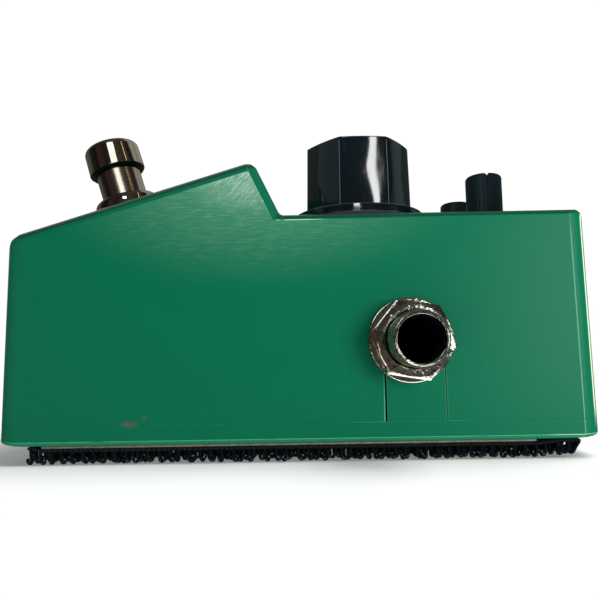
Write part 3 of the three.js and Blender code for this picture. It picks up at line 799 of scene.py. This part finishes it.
def build_plate():
    """The plate with the tongues that close the jacks' notches."""
    bottom_round, steps, wider = 0.8, 6, 1.8
    rows = []
    for step in range(steps + 1):
        turn = (pi / 2) * step / steps
        inward = 1 - sin(turn)
        rows.append(plan_row(bottom_round * inward, bottom_round * (1 - cos(turn)), CORNER + wider * inward))
    rows.append(plan_row(0, SEAM - SEAM_CHAMFER, CORNER))
    rows.append(plan_row(SEAM_CHAMFER, SEAM, CORNER - SEAM_CHAMFER))
    bm = bmesh.new()
    paint_faces(skin(bm, rows)[-len(rows[0]):], 1)
    plate = make_object("bottom_plate_with_tongues", bm, PAINTED)
    boolean(plate, [tongue(input_station), tongue(output_station)], "UNION")
    cutters = [hole_cutter(JACK_HOLE, input_station), hole_cutter(JACK_HOLE, output_station)]
    for place in SCREW_PLACES:
        bm = turned([(0, -1), (3.1, -1), (3.1, 0.05), (1.6, 2), (1.6, 5), (0, 5)], segments=48)
        cutters.append(make_object("cutter", bm, PAINTED, station((place.x, place.y, PLATE_Z))))
    boolean(plate, cutters)
    settle(plate, "pedal", "green_paint", "bottom_plate")


# ---- Threads, nuts and washers ----
def threaded(bm, radius, low, high, pitch, depth, segments=96, steps=6):
    """A screw thread's outer surface, running out to the plain radius at both ends."""
    count = int((high - low) / pitch * steps)
    rows = []
    for row in range(count + 1):
        z = low + (high - low) * row / count
        fade = min(1.0, (z - low) / pitch, (high - z) / (0.6 * pitch))
        ring = []
        for i in range(segments):
            a = 2 * pi * i / segments
            phase = (z / pitch - a / (2 * pi)) % 1.0
            r = radius - depth * fade * (1 - abs(2 * phase - 1)) ** 0.8
            ring.append((r * cos(a), r * sin(a), z))
        rows.append(ring)
    grid(bm, rows)


def hex_nut(name, slot, radius, bore, low, high, place, turn):
    """A hexagon nut, its corners turned down to a crown on both faces."""
    corners = [(radius * cos(turn + k * pi / 3), radius * sin(turn + k * pi / 3)) for k in range(6)]
    nut = make_object(name, extruded(corners, low, high), [materials[slot]], place)
    flat = radius * cos(pi / 6)
    land, reach = flat - 0.35, radius + 0.3
    rise = (radius - flat) * 0.55 + 0.135
    crown = turned([(0, low), (land, low), (reach, low + rise),
                    (reach, high - rise), (land, high), (0, high)])
    boolean(nut, [make_object("crown", crown, [], place)], "INTERSECT")
    flare = bore + 1.3
    hole = turned([(0, low - 1), (flare, low - 1), (bore, low + 0.3), (bore, high - 0.3),
                   (flare, high + 1), (0, high + 1)], segments=64)
    boolean(nut, [make_object("bore", hole, [], place)])
    round_edges(nut, 0.07, degrees=28, segments=2)
    return nut


def washer(name, slot, outer, inner, low, high, place, bend=0.0):
    """A punched washer with a rolled outer edge and a sharp inner one."""
    soft = min(0.22, (high - low) * 0.4)
    corners = [(inner, low, 0.05), (outer, low, soft * 0.6), (outer, high, soft), (inner, high, 0.05)]
    bm = turned(rounded(corners, steps=4), closed=True)
    for vertex in bm.verts:
        angle = atan2(vertex.co.y, vertex.co.x)
        vertex.co.z += bend * sin(2 * angle) * (vertex.co.xy.length / outer)
    return make_object(name, bm, [materials[slot]], place)


# ---- Footswitch ----
BUSH_RADIUS, BUSH_HIGH, BUSH_LOW, BUSH_BORE = 5.85, 5.96, -7.0, 4.35
STEM_RADIUS, CAP_RADIUS, CAP_LOW, CAP_HIGH = 4.1, 5.1, 11.37, 16.9
# The stem ends its travel above the spring, which does not shorten.
STEM_LOW = BUSH_LOW + PRESS + 0.3


def build_plunger():
    rim, foot = CAP_RADIUS + 0.06, BUSH_LOW - 5
    profile = rounded([
        (0, foot, 0), (1.5, foot, 0.4), (1.5, STEM_LOW, 0.2), (STEM_RADIUS, STEM_LOW, 0.3),
        (STEM_RADIUS, CAP_LOW + 0.2, 0.1), (CAP_RADIUS - 0.35, CAP_LOW, 0.12), (rim, CAP_LOW + 0.45, 0.2),
        (CAP_RADIUS - 0.06, CAP_HIGH, 1.15), (2.2, CAP_HIGH + 0.02, 0.5), (0, CAP_HIGH - 0.05, 0),
    ], closed=False, steps=10)
    bm = turned(profile, segments=160)
    for face in bm.faces:
        height = face.calc_center_median().z
        if height < CAP_LOW - 0.05:
            face.material_index = 1
        # The cap's underside and lip: near-black, a painted shade.
        elif height < CAP_LOW + 0.32:
            face.material_index = 2
    plunger = make_object("footswitch_button", bm, [materials["dark_chrome"], SATIN, BORE_SHADE], switch_station)
    settle(plunger, "footswitch", "dark_chrome", "footswitch_plunger", degrees=60, weighted=False)


def build_bushing():
    bm = bmesh.new()
    thread_top = BUSH_HIGH - 1.9
    threaded(bm, BUSH_RADIUS, BUSH_LOW, thread_top, 1.0, 0.42)
    top = rounded([
        (BUSH_RADIUS, thread_top, 0), (BUSH_RADIUS, BUSH_HIGH, 0.9), (BUSH_BORE + 0.15, BUSH_HIGH, 0.25),
        (BUSH_BORE, BUSH_HIGH - 0.8, 0.1), (BUSH_BORE, BUSH_LOW, 0), (BUSH_RADIUS, BUSH_LOW, 0),
    ], closed=False, steps=6)
    lathe(bm, top)
    bmesh.ops.remove_doubles(bm, verts=bm.verts, dist=1e-3)
    bushing = make_object("footswitch_thread", bm, [materials["dark_chrome"]], switch_station)
    settle(bushing, "pedal", "dark_chrome", "footswitch_bushing", degrees=30, weighted=False)


def build_switch_hardware():
    slot = "dark_chrome"
    nut = hex_nut("footswitch_top_nut", slot, 8.05, BUSH_RADIUS + 0.06, 0.8, 2.9, switch_station, 0.0)
    settle(nut, "pedal", slot, "footswitch_nut")
    ring = washer("footswitch_top_washer", slot, 8.3, BUSH_RADIUS + 0.2, 0.03, 0.7, switch_station)
    settle(ring, "pedal", slot, "footswitch_washer", weighted=False)


# ---- Drive knob ----
FACETS, FACET_TURN, FACET_RADIUS = 7, 0.0475, 10.0
FACET_LOW, TAPER, KNOB_TOP = 40.4, 0.0203, 51.7
SKIRT_RADIUS, SKIRT_TOP, SKIRT_LOW = 12.05, 38.87, PANEL_UP + 0.4
FACET_BULGE = 0.30
CORNER_LAND = 0.11
FACET_WAVE = 0.09


def facet_ring(up, shrink=0.0, steps=12):
    """One level of the knob's seven slightly cushioned, wavy facets, with a narrow land at each corner."""
    radius = FACET_RADIUS - (up - FACET_LOW) * TAPER - shrink
    depth = max(0.0, (KNOB_TOP - up) / (KNOB_TOP - SKIRT_TOP))
    wave = -FACET_WAVE * sin(1.5 * pi * depth ** 1.6)
    corners = []
    for k in range(FACETS + 1):
        angle = FACET_TURN + (k - 0.5) * 2 * pi / FACETS
        corners.append(Vector((radius * sin(angle), -radius * cos(angle))))
    points = []
    for start, end in zip(corners, corners[1:]):
        run = (end - start).normalized()
        outward = Vector((run.y, -run.x))
        land = CORNER_LAND / (end - start).length
        for i in range(steps + 1):
            t = land + (1 - 2 * land) * i / steps
            u = 2 * t - 1
            swell = FACET_BULGE * (1 - u * u) - 0.04 + wave * u * (1 - u ** 4)
            point = start.lerp(end, t) + outward * swell
            points.append((point.x, point.y, up))
    return points


def build_knob():
    levels, soft = 18, 0.22
    low, high = SKIRT_TOP - 0.5, KNOB_TOP - soft
    rows = [facet_ring(low + (high - low) * i / levels) for i in range(levels + 1)]
    for turn in (0.35, 0.8, 1.2, pi / 2):
        rows.append(facet_ring(KNOB_TOP - soft * (1 - sin(turn)), soft * (1 - cos(turn))))
    for share in (0.9, 0.7, 0.45, 0.2):
        rows.append([(x * share, y * share, KNOB_TOP) for x, y, _ in facet_ring(KNOB_TOP, soft)])
    knob = make_object("drive_knob_body", skinned(rows), [materials["gloss_black"]], drive_station)
    rim = SKIRT_RADIUS + 0.25
    profile = rounded([
        (0, SKIRT_LOW, 0), (rim, SKIRT_LOW, 0.15), (rim, SKIRT_TOP - 1.5, 0.1),
        (SKIRT_RADIUS, SKIRT_TOP, 0.22), (9, SKIRT_TOP + 0.02, 0), (0, SKIRT_TOP + 0.02, 0),
    ], closed=False, steps=5)
    boolean(knob, [make_object("skirt", turned(profile, segments=160), [], drive_station)], "UNION")
    cutters = []
    for radius, top in ((8.2, SKIRT_TOP - 0.4), (3.25, KNOB_TOP - 2.5)):
        bm = turned([(0, SKIRT_LOW - 1), (radius, SKIRT_LOW - 1), (radius, top), (0, top)], segments=64)
        cutters.append(make_object("cutter", bm, [], drive_station))
    boolean(knob, cutters)
    settle(knob, "drive", "gloss_black", "drive_knob", degrees=24)


def build_pointer():
    """The white line on the knob's top, with rounded ends."""
    half, start, end, soft = 0.45, 2.2, 8.2, 0.4
    outline = rounded([(-half, -end, soft), (half, -end, soft), (half, -start, soft), (-half, -start, soft)])
    place = drive_station @ Matrix.Rotation(FACET_TURN + 4 * pi / FACETS, 4, "Z")
    bm = extruded(outline, KNOB_TOP - 0.1, KNOB_TOP + 0.12)
    line = make_object("drive_pointer_line", bm, [materials["white_paint"]], place)
    round_edges(line, 0.06, segments=2)
    settle(line, "drive", "white_paint", "drive_pointer")


# ---- Slotted shafts ----
def build_shaft(name, place, turn_degrees, body, node):
    """A split plastic shaft with fine knurling, a chamfered top and a screwdriver slot."""
    radius, top, low = 3.03, 43.59, span(node)[0].z - PLATE_Z
    ribs, knurl, slot, slot_depth, mouth = 36, 0.055, 0.12, 1.5, 0.42
    segments = ribs * 4
    rows = []
    for up, inset, depth in (
        (low, 0.1, 0), (PANEL_UP - 1.4, 0.1, 0), (PANEL_UP - 1.2, 0, knurl), (top - 0.5, 0, knurl),
        (top - 0.28, 0.08, knurl * 0.5), (top - 0.08, 0.26, 0), (top, 0.42, 0),
    ):
        ring = []
        for i in range(segments):
            a = 2 * pi * i / segments
            r = radius - inset - depth * (0.5 + 0.5 * cos(a * ribs))
            ring.append((r * cos(a), r * sin(a), up))
        rows.append(ring)
    spun = place @ Matrix.Rotation(radians(turn_degrees), 4, "Z")
    shaft = make_object(name, skinned(rows), [materials["matte_black"]], spun)
    half, flare = slot / 2, slot / 2 + 1.2
    outline = [(-half, top - slot_depth), (half, top - slot_depth), (half, top - mouth),
               (flare, top + 1), (-flare, top + 1), (-half, top - mouth)]
    boolean(shaft, [make_object("slot", extruded(outline, -5, 5), [], spun @ UPRIGHT)])
    settle(shaft, body, "matte_black", node, degrees=32)


# ---- Status light ----
def build_led():
    radius, high, flange, ledge = 1.5, 1.5, 1.85, -WALL - 0.3
    lens = rounded([(0, ledge - 0.6, 0), (flange, ledge - 0.6, 0.1), (flange, ledge, 0.1),
                    (radius, ledge, 0.1), (radius, high, 1.1), (0, high, 0)], closed=False, steps=10)
    turned_piece("status_light_lens", lens, led_station, "red_lens", "led_lens")
    inner, outer = radius + 0.08, 2.9
    bezel = rounded([(inner, -WALL, 0), (inner + 0.5, -WALL, 0.1), (inner + 0.5, 0.05, 0),
                     (outer, 0.05, 0.05), (outer, 0.62, 0.5), (inner, 0.78, 0.2)], steps=6)
    turned_piece("status_light_bezel", bezel, led_station, "dark_chrome", "led_bezel", closed=True)


# ---- Jacks ----
JACK_TIP, BARREL_RADIUS, MOUTH_RADIUS, JACK_BORE = 9.28, 4.1, 3.82, 3.3
NUT_TURN = radians(-9.4)


def build_jack(side, place):
    node = f"{side}_jack_"
    nickel, low = "worn_nickel", -WALL - 0.5
    bm = bmesh.new()
    threaded(bm, BARREL_RADIUS, low, JACK_TIP - 0.9, 0.75, 0.26)
    throat = JACK_BORE + 0.08
    lathe(bm, rounded([
        (BARREL_RADIUS, JACK_TIP - 0.9, 0), (BARREL_RADIUS, JACK_TIP - 0.42, 0.1),
        (MOUTH_RADIUS, JACK_TIP - 0.06, 0.1), (MOUTH_RADIUS - 0.2, JACK_TIP, 0.08),
        (JACK_BORE + 0.14, JACK_TIP - 0.04, 0.06), (throat, JACK_TIP - 0.4, 0),
    ], closed=False, steps=4))
    # The barrel's inside: near-black, a painted shade.
    inside = [(throat, JACK_TIP - 0.4), (JACK_BORE, JACK_TIP - 0.6), (JACK_BORE, low), (BARREL_RADIUS, low)]
    paint_faces(lathe(bm, inside), 1)
    bmesh.ops.remove_doubles(bm, verts=bm.verts, dist=1e-3)
    barrel = make_object(node + "sleeve", bm, [materials[nickel], BORE_SHADE], place)
    settle(barrel, "pedal", nickel, node + "barrel", degrees=30, weighted=False)
    nut = hex_nut(node + "hex_nut", nickel, 6.51, BARREL_RADIUS + 0.05, 1.08, 3.53, place, NUT_TURN)
    settle(nut, "pedal", nickel, node + "nut")
    ring = washer(node + "flat_washer", nickel, 6.55, 4.3, 0.05, 0.98, place, bend=0.03)
    settle(ring, "pedal", nickel, node + "washer", weighted=False)

    half, front, back = 6.0, -WALL - 0.8, -22.3
    plastic = [materials["matte_black"], BORE_SHADE]
    bm = boxed((-half, half), (-half, half), (back, front))
    body = make_object(node + "housing", bm, plastic, place)
    round_edges(body, 0.5)
    end = back + 1.1
    bm = turned([(0, end), (JACK_BORE, end), (JACK_BORE, front + 1), (0, front + 1)], segments=64, index=1)
    bore = make_object("bore", bm, plastic, place)
    bm = boxed((-1.4, 1.4), (-half - 1, 0), (end + 0.1, end + 5.1))
    boolean(body, [bore, make_object("window", bm, [], place)])
    settle(body, "pedal", "matte_black", node + "body")


# ---- Power socket ----
def build_power_socket():
    low, high = span("power_socket")
    under = low.z - power_station.translation.z
    nose, bore, front = 4.6, 2.9, high.x
    plastic = [materials["matte_black"], BORE_SHADE]
    body = make_object("power_inlet", boxed((-4.3, 4.3), (under, under + 9.2), (low.x, 43.7)), plastic,
                       power_station)
    round_edges(body, 0.3, segments=2)
    profile = rounded([(0, 42.7, 0), (nose, 42.7, 0), (nose, front, 0.35), (0, front, 0)],
                      closed=False, steps=5)
    boolean(body, [make_object("nose", turned(profile), [], power_station)], "UNION")
    foot = make_object("foot", boxed((-9, 9), (-12, under), (30, 50)), [], power_station)
    profile = [(0, 36.5), (bore, 36.5), (bore, front - 0.4), (bore + 1.4, front + 1), (0, front + 1)]
    hole = make_object("hole", turned(profile, segments=64, index=1), plastic, power_station)
    boolean(body, [foot, hole])
    settle(body, "pedal", "matte_black", "power_socket")
    pin = rounded([(0, 36.8, 0), (1.05, 36.8, 0), (1.05, 44.8, 0.6), (0, 44.8, 0)], closed=False, steps=6)
    turned_piece("power_inlet_pin", pin, power_station, "worn_nickel", "power_pin", segments=48)


# ---- Hook tape ----
HOOK_PITCH, RANK_PITCH, WIRE_RADIUS, BACKING_THICK = 1.62, 1.05, 0.26, 0.45
tape_low, tape_high = span("hook_tape_backing")
tape_middle = (tape_low + tape_high) / 2
tape_half = (tape_high - tape_low) / 2
BACKING_UNDER = tape_high.z - BACKING_THICK
GLUE_START, GLUE_END = tape_low.x + 2.0, tape_high.x - 6.5


def lift(x):
    """How far the backing curls up to the plate beyond the glue's ends."""
    before = min(1.0, max(0.0, (GLUE_START - x) / 1.5))
    after = min(1.0, max(0.0, (x - GLUE_END) / 4))
    return 0.42 * max(before, after)


def ragged_slab(name, x_span, half_y, z_span, ragged, step, material, curls=False):
    """A thin rectangular layer with an uneven edge and a rounded rim."""
    middle, half_x = sum(x_span) / 2, (x_span[1] - x_span[0]) / 2
    corners = [(-half_x, -half_y), (half_x, -half_y), (half_x, half_y), (-half_x, half_y)]
    outline = []
    for i in range(4):
        start, end = Vector(corners[i]), Vector(corners[(i + 1) % 4])
        count = int((end - start).length / step)
        outline += [start.lerp(end, k / count) for k in range(count)]
    wander = 0.0
    offsets = []
    for _ in outline:
        wander = 0.75 * wander + rng.uniform(-1, 1) * ragged
        offsets.append(abs(wander))
    low, high = z_span
    soft = (high - low) * 0.35
    rows = []
    for z, inset in ((low, soft), (low + soft, 0.0), (high - soft, 0.0), (high, soft)):
        row = []
        for point, offset in zip(outline, offsets):
            x = middle + point.x * (1 - (offset + inset) / half_x)
            y = point.y * (1 - (offset + inset) / half_y)
            row.append((x, y, z + (lift(x) if curls else 0)))
        rows.append(row)
    return make_object(name, skinned(rows), [material])


def hook_path(x, y, lean):
    """One hook: down from the backing, then curling back up at its end, inwards at the tape's ends."""
    yaw = rng.uniform(-0.6, 0.6) + (pi if rng.random() < 0.5 + lean.x * -0.7 else 0)
    run = Vector((cos(yaw), sin(yaw), 0))
    top = BACKING_UNDER + 0.12 + lift(x)
    curl = rng.uniform(0.25, 0.36)
    low = rng.uniform(WIRE_RADIUS + 0.01, WIRE_RADIUS + 0.15) + 0.8 * lift(x) * (x > 0)
    bend = rng.uniform(-0.2, 0.3)
    points = [Vector((0, 0, top)), run * bend * 0.7 + Vector((0, 0, top * 0.6 + low * 0.4))]
    for k in range(8):
        a = pi * (k / 7) * 1.15
        points.append(run * (bend + curl * (1 - cos(a))) + Vector((0, 0, low + curl * (1 - sin(a)))))
    points.append(points[-1] + run * -0.12 + Vector((0, 0, 0.25)))
    placed = []
    for point in points:
        depth = (top - point.z) / top
        placed.append(point + Vector((x + lean.x * depth, y + lean.y * depth, 0)))
    return placed


def tube(bm, path, radius, sides=6):
    """A round wire along a path, closed at both ends."""
    rows = []
    for i, point in enumerate(path):
        ahead = path[min(i + 1, len(path) - 1)] - path[max(i - 1, 0)]
        along = ahead.normalized()
        side = along.cross(Vector((0.31, 0.95, 0.02))).normalized()
        other = along.cross(side)
        width = radius * (0.72 if i == len(path) - 1 else 1.0)
        rows.append([point + (side * cos(2 * pi * k / sides) + other * sin(2 * pi * k / sides)) * width
                     for k in range(sides)])
    skin(bm, rows)


def build_hooks():
    columns = int(2 * (tape_half.x - 0.5) / HOOK_PITCH)
    ranks = int(2 * (tape_half.y - 0.4) / RANK_PITCH)
    for name, outer in (("tape_hooks_rim", True), ("tape_hooks_field", False)):
        bm = bmesh.new()
        for rank in range(ranks + 1):
            for column in range(columns + 1):
                on_rim = min(rank, ranks - rank, column, columns - column) < 2
                if on_rim != outer:
                    continue
                u = -1 + 2 * column / columns
                v = -1 + 2 * rank / ranks
                stagger = HOOK_PITCH / 2 if rank % 2 and 0 < column < columns else 0
                x = tape_middle.x + u * (tape_half.x - 0.3) + stagger + rng.uniform(-0.15, 0.15)
                y = v * (tape_half.y - 0.35) + rng.uniform(-0.1, 0.1)
                outward = (-1.0 if u > 0 else -0.45) * u ** 15
                lean = Vector((outward + rng.uniform(-0.15, 0.15),
                               rng.uniform(-0.15, 0.15) - 0.2 * v ** 15))
                tube(bm, hook_path(x, y, lean), WIRE_RADIUS, sides=8 if outer else 5)
        hooks = make_object(name, bm, [materials["tape_hooks"]])
        settle(hooks, "pedal", "tape_hooks", "hook_tape_hooks", degrees=70, weighted=False)


def build_tape():
    glue_low, glue_high = span("hook_tape_glue")
    layer = ragged_slab("tape_glue_layer", (GLUE_START, GLUE_END), glue_high.y,
                        (glue_low.z, glue_high.z + 0.04), 0.06, 0.5, materials["tape_glue"])
    settle(layer, "pedal", "tape_glue", "hook_tape_glue", degrees=60, weighted=False)
    backing = ragged_slab("tape_woven_backing", (tape_low.x, tape_high.x), tape_half.y,
                          (BACKING_UNDER, tape_high.z + 0.08), 0.05, 0.4,
                          materials["tape_backing"], curls=True)
    settle(backing, "pedal", "tape_backing", "hook_tape_backing", degrees=60, weighted=False)
    build_hooks()


build_case()
build_plate()
build_plunger()
build_bushing()
build_switch_hardware()
build_knob()
build_pointer()
build_shaft("tone_control_shaft", tone_station, -5, "tone", "tone_shaft")
build_shaft("level_control_shaft", level_station, 70, "level", "level_shaft")
build_led()
build_jack("input", input_station)
build_jack("output", output_station)
build_power_socket()
build_tape()


# ---- Floor, light and camera ----
def build_floor():
    floor = make_object("floor", turned([(0, 0), (400, 0), (4000, 0), (40000, 0)], segments=64), [])
    s = Surface("floor_white", (240, 240, 240), 0.8, specular=0.1)
    s.tint((243, 243, 243), 0.5, s.noise(120, detail=2))
    s.shader.inputs["Emission Color"].default_value = WHITE
    s.shader.inputs["Emission Strength"].default_value = 0.21
    floor.data.materials.append(s.finish())
    floor.visible_glossy = False
    floor.visible_shadow = False


def aim(thing, origin, target):
    thing.location = Vector(origin) * MM
    thing.rotation_euler = (Vector(target) - Vector(origin)).to_track_quat("-Z", "Y").to_euler()
    bpy.context.scene.collection.objects.link(thing)


def group_of(name, pieces):
    group = bpy.data.collections.new(name)
    for piece_name in pieces:
        group.objects.link(bpy.data.objects[piece_name])
    return group


def light_only(lamp, receivers, blockers=()):
    """Keeps a lamp's light to some pieces, its shadows to others, and the lamp itself out of sight."""
    lamp.visible_camera = False
    lamp.light_linking.receiver_collection = group_of(lamp.name, receivers)
    if blockers:
        lamp.light_linking.blocker_collection = group_of(lamp.name + "_blockers", blockers)


def area_light(name, origin, target, size, radiance, receivers, color=(1, 1, 1), blockers=()):
    """A soft box that looks radiance times as bright as white paper to its receivers."""
    light = bpy.data.lights.new(name, "AREA")
    light.shape = "RECTANGLE"
    light.size, light.size_y = size[0] * MM, size[1] * MM
    light.energy = radiance * pi * light.size * light.size_y
    light.color = color
    lamp = bpy.data.objects.new(name, light)
    aim(lamp, origin, target)
    light_only(lamp, receivers, blockers)


def sun_light(name, direction, strength, spread_degrees, receivers):
    light = bpy.data.lights.new(name, "SUN")
    light.energy = strength
    light.angle = radians(spread_degrees)
    lamp = bpy.data.objects.new(name, light)
    aim(lamp, direction, (0, 0, 0))
    light_only(lamp, receivers)


# What stands round the object, by direction in degrees from the input side towards +X, as linear light.
ROOM = [
    (-180, (0.22, 0.20, 0.17)), (-125, (0.16, 0.15, 0.12)), (-100, (0.15, 0.14, 0.11)),
    (-90, (0.03, 0.035, 0.035)), (-62, (0.01, 0.015, 0.015)), (-52, (0.09, 0.045, 0.036)),
    (-36, (0.06, 0.035, 0.03)), (-22, (0.03, 0.025, 0.02)), (10, (0.10, 0.10, 0.085)),
    (36, (0.08, 0.075, 0.06)), (58, (0.05, 0.05, 0.04)), (68, (0.12, 0.11, 0.09)),
    (76, (0.03, 0.03, 0.028)), (104, (0.03, 0.03, 0.028)), (110, (0.24, 0.29, 0.30)),
    (119, (0.24, 0.29, 0.30)), (125, (0.05, 0.06, 0.06)), (140, (0.12, 0.12, 0.10)),
    (165, (0.22, 0.20, 0.17)),
]
OVERHEAD = (0.12, 0.12, 0.12, 1)
WHITE = (1, 1, 1, 1)


def build_world():
    """White behind the object, and a dim room for what the surfaces reflect."""
    world = bpy.data.worlds.new("studio")
    world.use_nodes = True
    bpy.context.scene.world = world
    tree = world.node_tree

    def add(kind, feeds, **settings):
        return add_node(tree, kind, feeds, **settings).outputs

    way = add("ShaderNodeSeparateXYZ", {0: add("ShaderNodeTexCoord", {})["Generated"]})
    towards = add("ShaderNodeMath", {0: way["Y"], 1: -1}, operation="MULTIPLY")[0]
    angle = add("ShaderNodeMath", {0: way["X"], 1: towards}, operation="ARCTAN2")[0]
    turn = add("ShaderNodeMapRange", {"Value": angle, "From Min": -pi, "From Max": pi})["Result"]
    ramp = add_node(tree, "ShaderNodeValToRGB", {"Fac": turn})
    stops = ramp.color_ramp.elements
    while len(stops) > 1:
        stops.remove(stops[0])
    for degrees, color in ROOM:
        stops.new((degrees + 180) / 360).color = (*color, 1)
    stops.remove(stops[-1])
    rise = add("ShaderNodeMapRange", {"Value": way["Z"], "From Min": 0.75, "From Max": 0.98},
               interpolation_type="SMOOTHSTEP")["Result"]
    blend = add("ShaderNodeMix", {"Factor": rise, 6: ramp.outputs["Color"], 7: OVERHEAD},
                data_type="RGBA")[2]
    room = add("ShaderNodeBackground", {"Color": blend})[0]
    backdrop = add("ShaderNodeBackground", {"Color": WHITE, "Strength": 1.02})[0]
    seen = add("ShaderNodeLightPath", {})["Is Camera Ray"]
    surface = add("ShaderNodeMixShader", {0: seen, 1: room, 2: backdrop})[0]
    feed(tree, tree.nodes["World Output"].inputs["Surface"], surface)


def build_camera():
    """A phone held low and close, tilted up a little. Its place is the one that fits the photograph."""
    place = Vector((1.4565, -107.0465, 13.564 + PLATE_Z))
    yaw, pitch, roll = -0.0088, 0.0928, -0.01747
    ahead = Vector((sin(yaw) * cos(pitch), cos(yaw) * cos(pitch), sin(pitch)))
    right = Vector((cos(yaw), -sin(yaw), 0))
    above = right.cross(ahead)
    tilted_right = right * cos(roll) + above * sin(roll)
    tilted_above = above * cos(roll) - right * sin(roll)
    turn = Matrix((tilted_right, tilted_above, -ahead)).transposed().to_4x4()
    data = bpy.data.cameras.new("camera")
    data.sensor_width = 36
    data.lens = 34.293
    data.clip_start = 0.005
    data.clip_end = 100
    camera = bpy.data.objects.new("camera", data)
    camera.matrix_world = Matrix.Translation(place * MM) @ turn
    bpy.context.scene.collection.objects.link(camera)
    bpy.context.scene.camera = camera


build_floor()
build_world()
build_camera()
SWITCH_PIECES = ("footswitch_button", "footswitch_thread", "footswitch_top_nut", "footswitch_top_washer")
SHAFT_PIECES = ("tone_control_shaft", "level_control_shaft")
JACK_PIECES = ("input_jack_sleeve", "input_jack_hex_nut", "input_jack_flat_washer")
OUTPUT_PIECES = ("output_jack_sleeve", "output_jack_hex_nut", "output_jack_flat_washer")
KNOB_PIECES = ("drive_knob_body",)
PAINTED_PIECES = ("case_shell", "bottom_plate_with_tongues")
TAPE_PIECES = ("tape_glue_layer", "tape_woven_backing", "tape_hooks_rim", "tape_hooks_field")
FINE_PIECES = ("status_light_lens", "status_light_bezel", "drive_pointer_line", "power_inlet") + KNOB_PIECES
SWITCH_AT, KNOB_AT, JACK_AT = (-33, 0, 50), (12, -8, 48), (17, -24, 18)
sun_light("over_floor", (420, 0, 850), 2.6, 44, ("floor",))
sun_light("low_right", (900, -150, 450), 0.7, 16, ("floor",))
sun_light("top", (60, 0, 900), 1.25, 90, PAINTED_PIECES + FINE_PIECES)
sun_light("rear", (-200, 500, 300), 1.0, 60, PAINTED_PIECES)
sun_light("left_fill", (-500, -400, -50), 0.5, 60, PAINTED_PIECES)
area_light("key", (150, -165, 50), (0, 0, 25), (120, 120), 8.9, PAINTED_PIECES + ("tape_glue_layer",),
           blockers=("input_jack_flat_washer", "input_jack_hex_nut") + PAINTED_PIECES)
area_light("hook_lamp", (60, -300, 110), (0, -18, 2), (220, 60), 14, TAPE_PIECES[1:], (0.75, 0.9, 1.0))
area_light("switch_window", (-6, -420, 170), SWITCH_AT, (170, 420), 3.4,
           ("footswitch_button",), (1.0, 0.99, 0.95))
area_light("switch_lamp", (241, -178, 283), SWITCH_AT, (9, 150), 5.0, SWITCH_PIECES, (1.0, 0.55, 0.25))
area_light("switch_glow", (190, 223, 296), SWITCH_AT, (400, 500), 0.42, SWITCH_PIECES, (1.0, 0.92, 0.76))
area_light("switch_spark", (-6, -420, 210), SWITCH_AT, (90, 60), 9.0, SWITCH_PIECES[1:])
area_light("knob_window", (152, -390, 190), KNOB_AT, (40, 130), 20, KNOB_PIECES)
area_light("knob_left", (-258, -330, 190), KNOB_AT, (100, 130), 8, KNOB_PIECES)
area_light("knob_right", (376, -218, 190), KNOB_AT, (150, 130), 6, KNOB_PIECES)
for index, width in enumerate((60, 120, 180)):
    area_light(f"knob_side_{index}", (-386, -43, 165), KNOB_AT, (width, 200), 0.22,
               KNOB_PIECES, (0.85, 1.0, 1.0))
area_light("skirt_lamp", (-20, -300, 278), (12, -12, 38), (60, 60), 28, KNOB_PIECES)
area_light("shaft_window", (-120, -260, 150), (33, 0, 45), (60, 300), 1.6, SHAFT_PIECES, (0.75, 0.92, 1.0))
area_light("jack_below", (50, -110, -140), JACK_AT, (220, 160), 3.2, JACK_PIECES)
area_light("jack_above", (-120, -110, 180), JACK_AT, (140, 120), 4.0, JACK_PIECES)
area_light("jack_right", (210, -140, 10), JACK_AT, (70, 90), 5.0, JACK_PIECES)
area_light("jack_spark_right", (130, -300, 70), JACK_AT, (50, 50), 9.0, JACK_PIECES)
area_light("jack_spark_left", (-110, -300, -60), JACK_AT, (50, 50), 7.0, JACK_PIECES, (1.0, 0.9, 0.7))
area_light("output_window", (-60, 260, 160), (17, 24, 18), (240, 160), 2.4, OUTPUT_PIECES)
bpy.context.scene.view_settings.view_transform = "Standard"
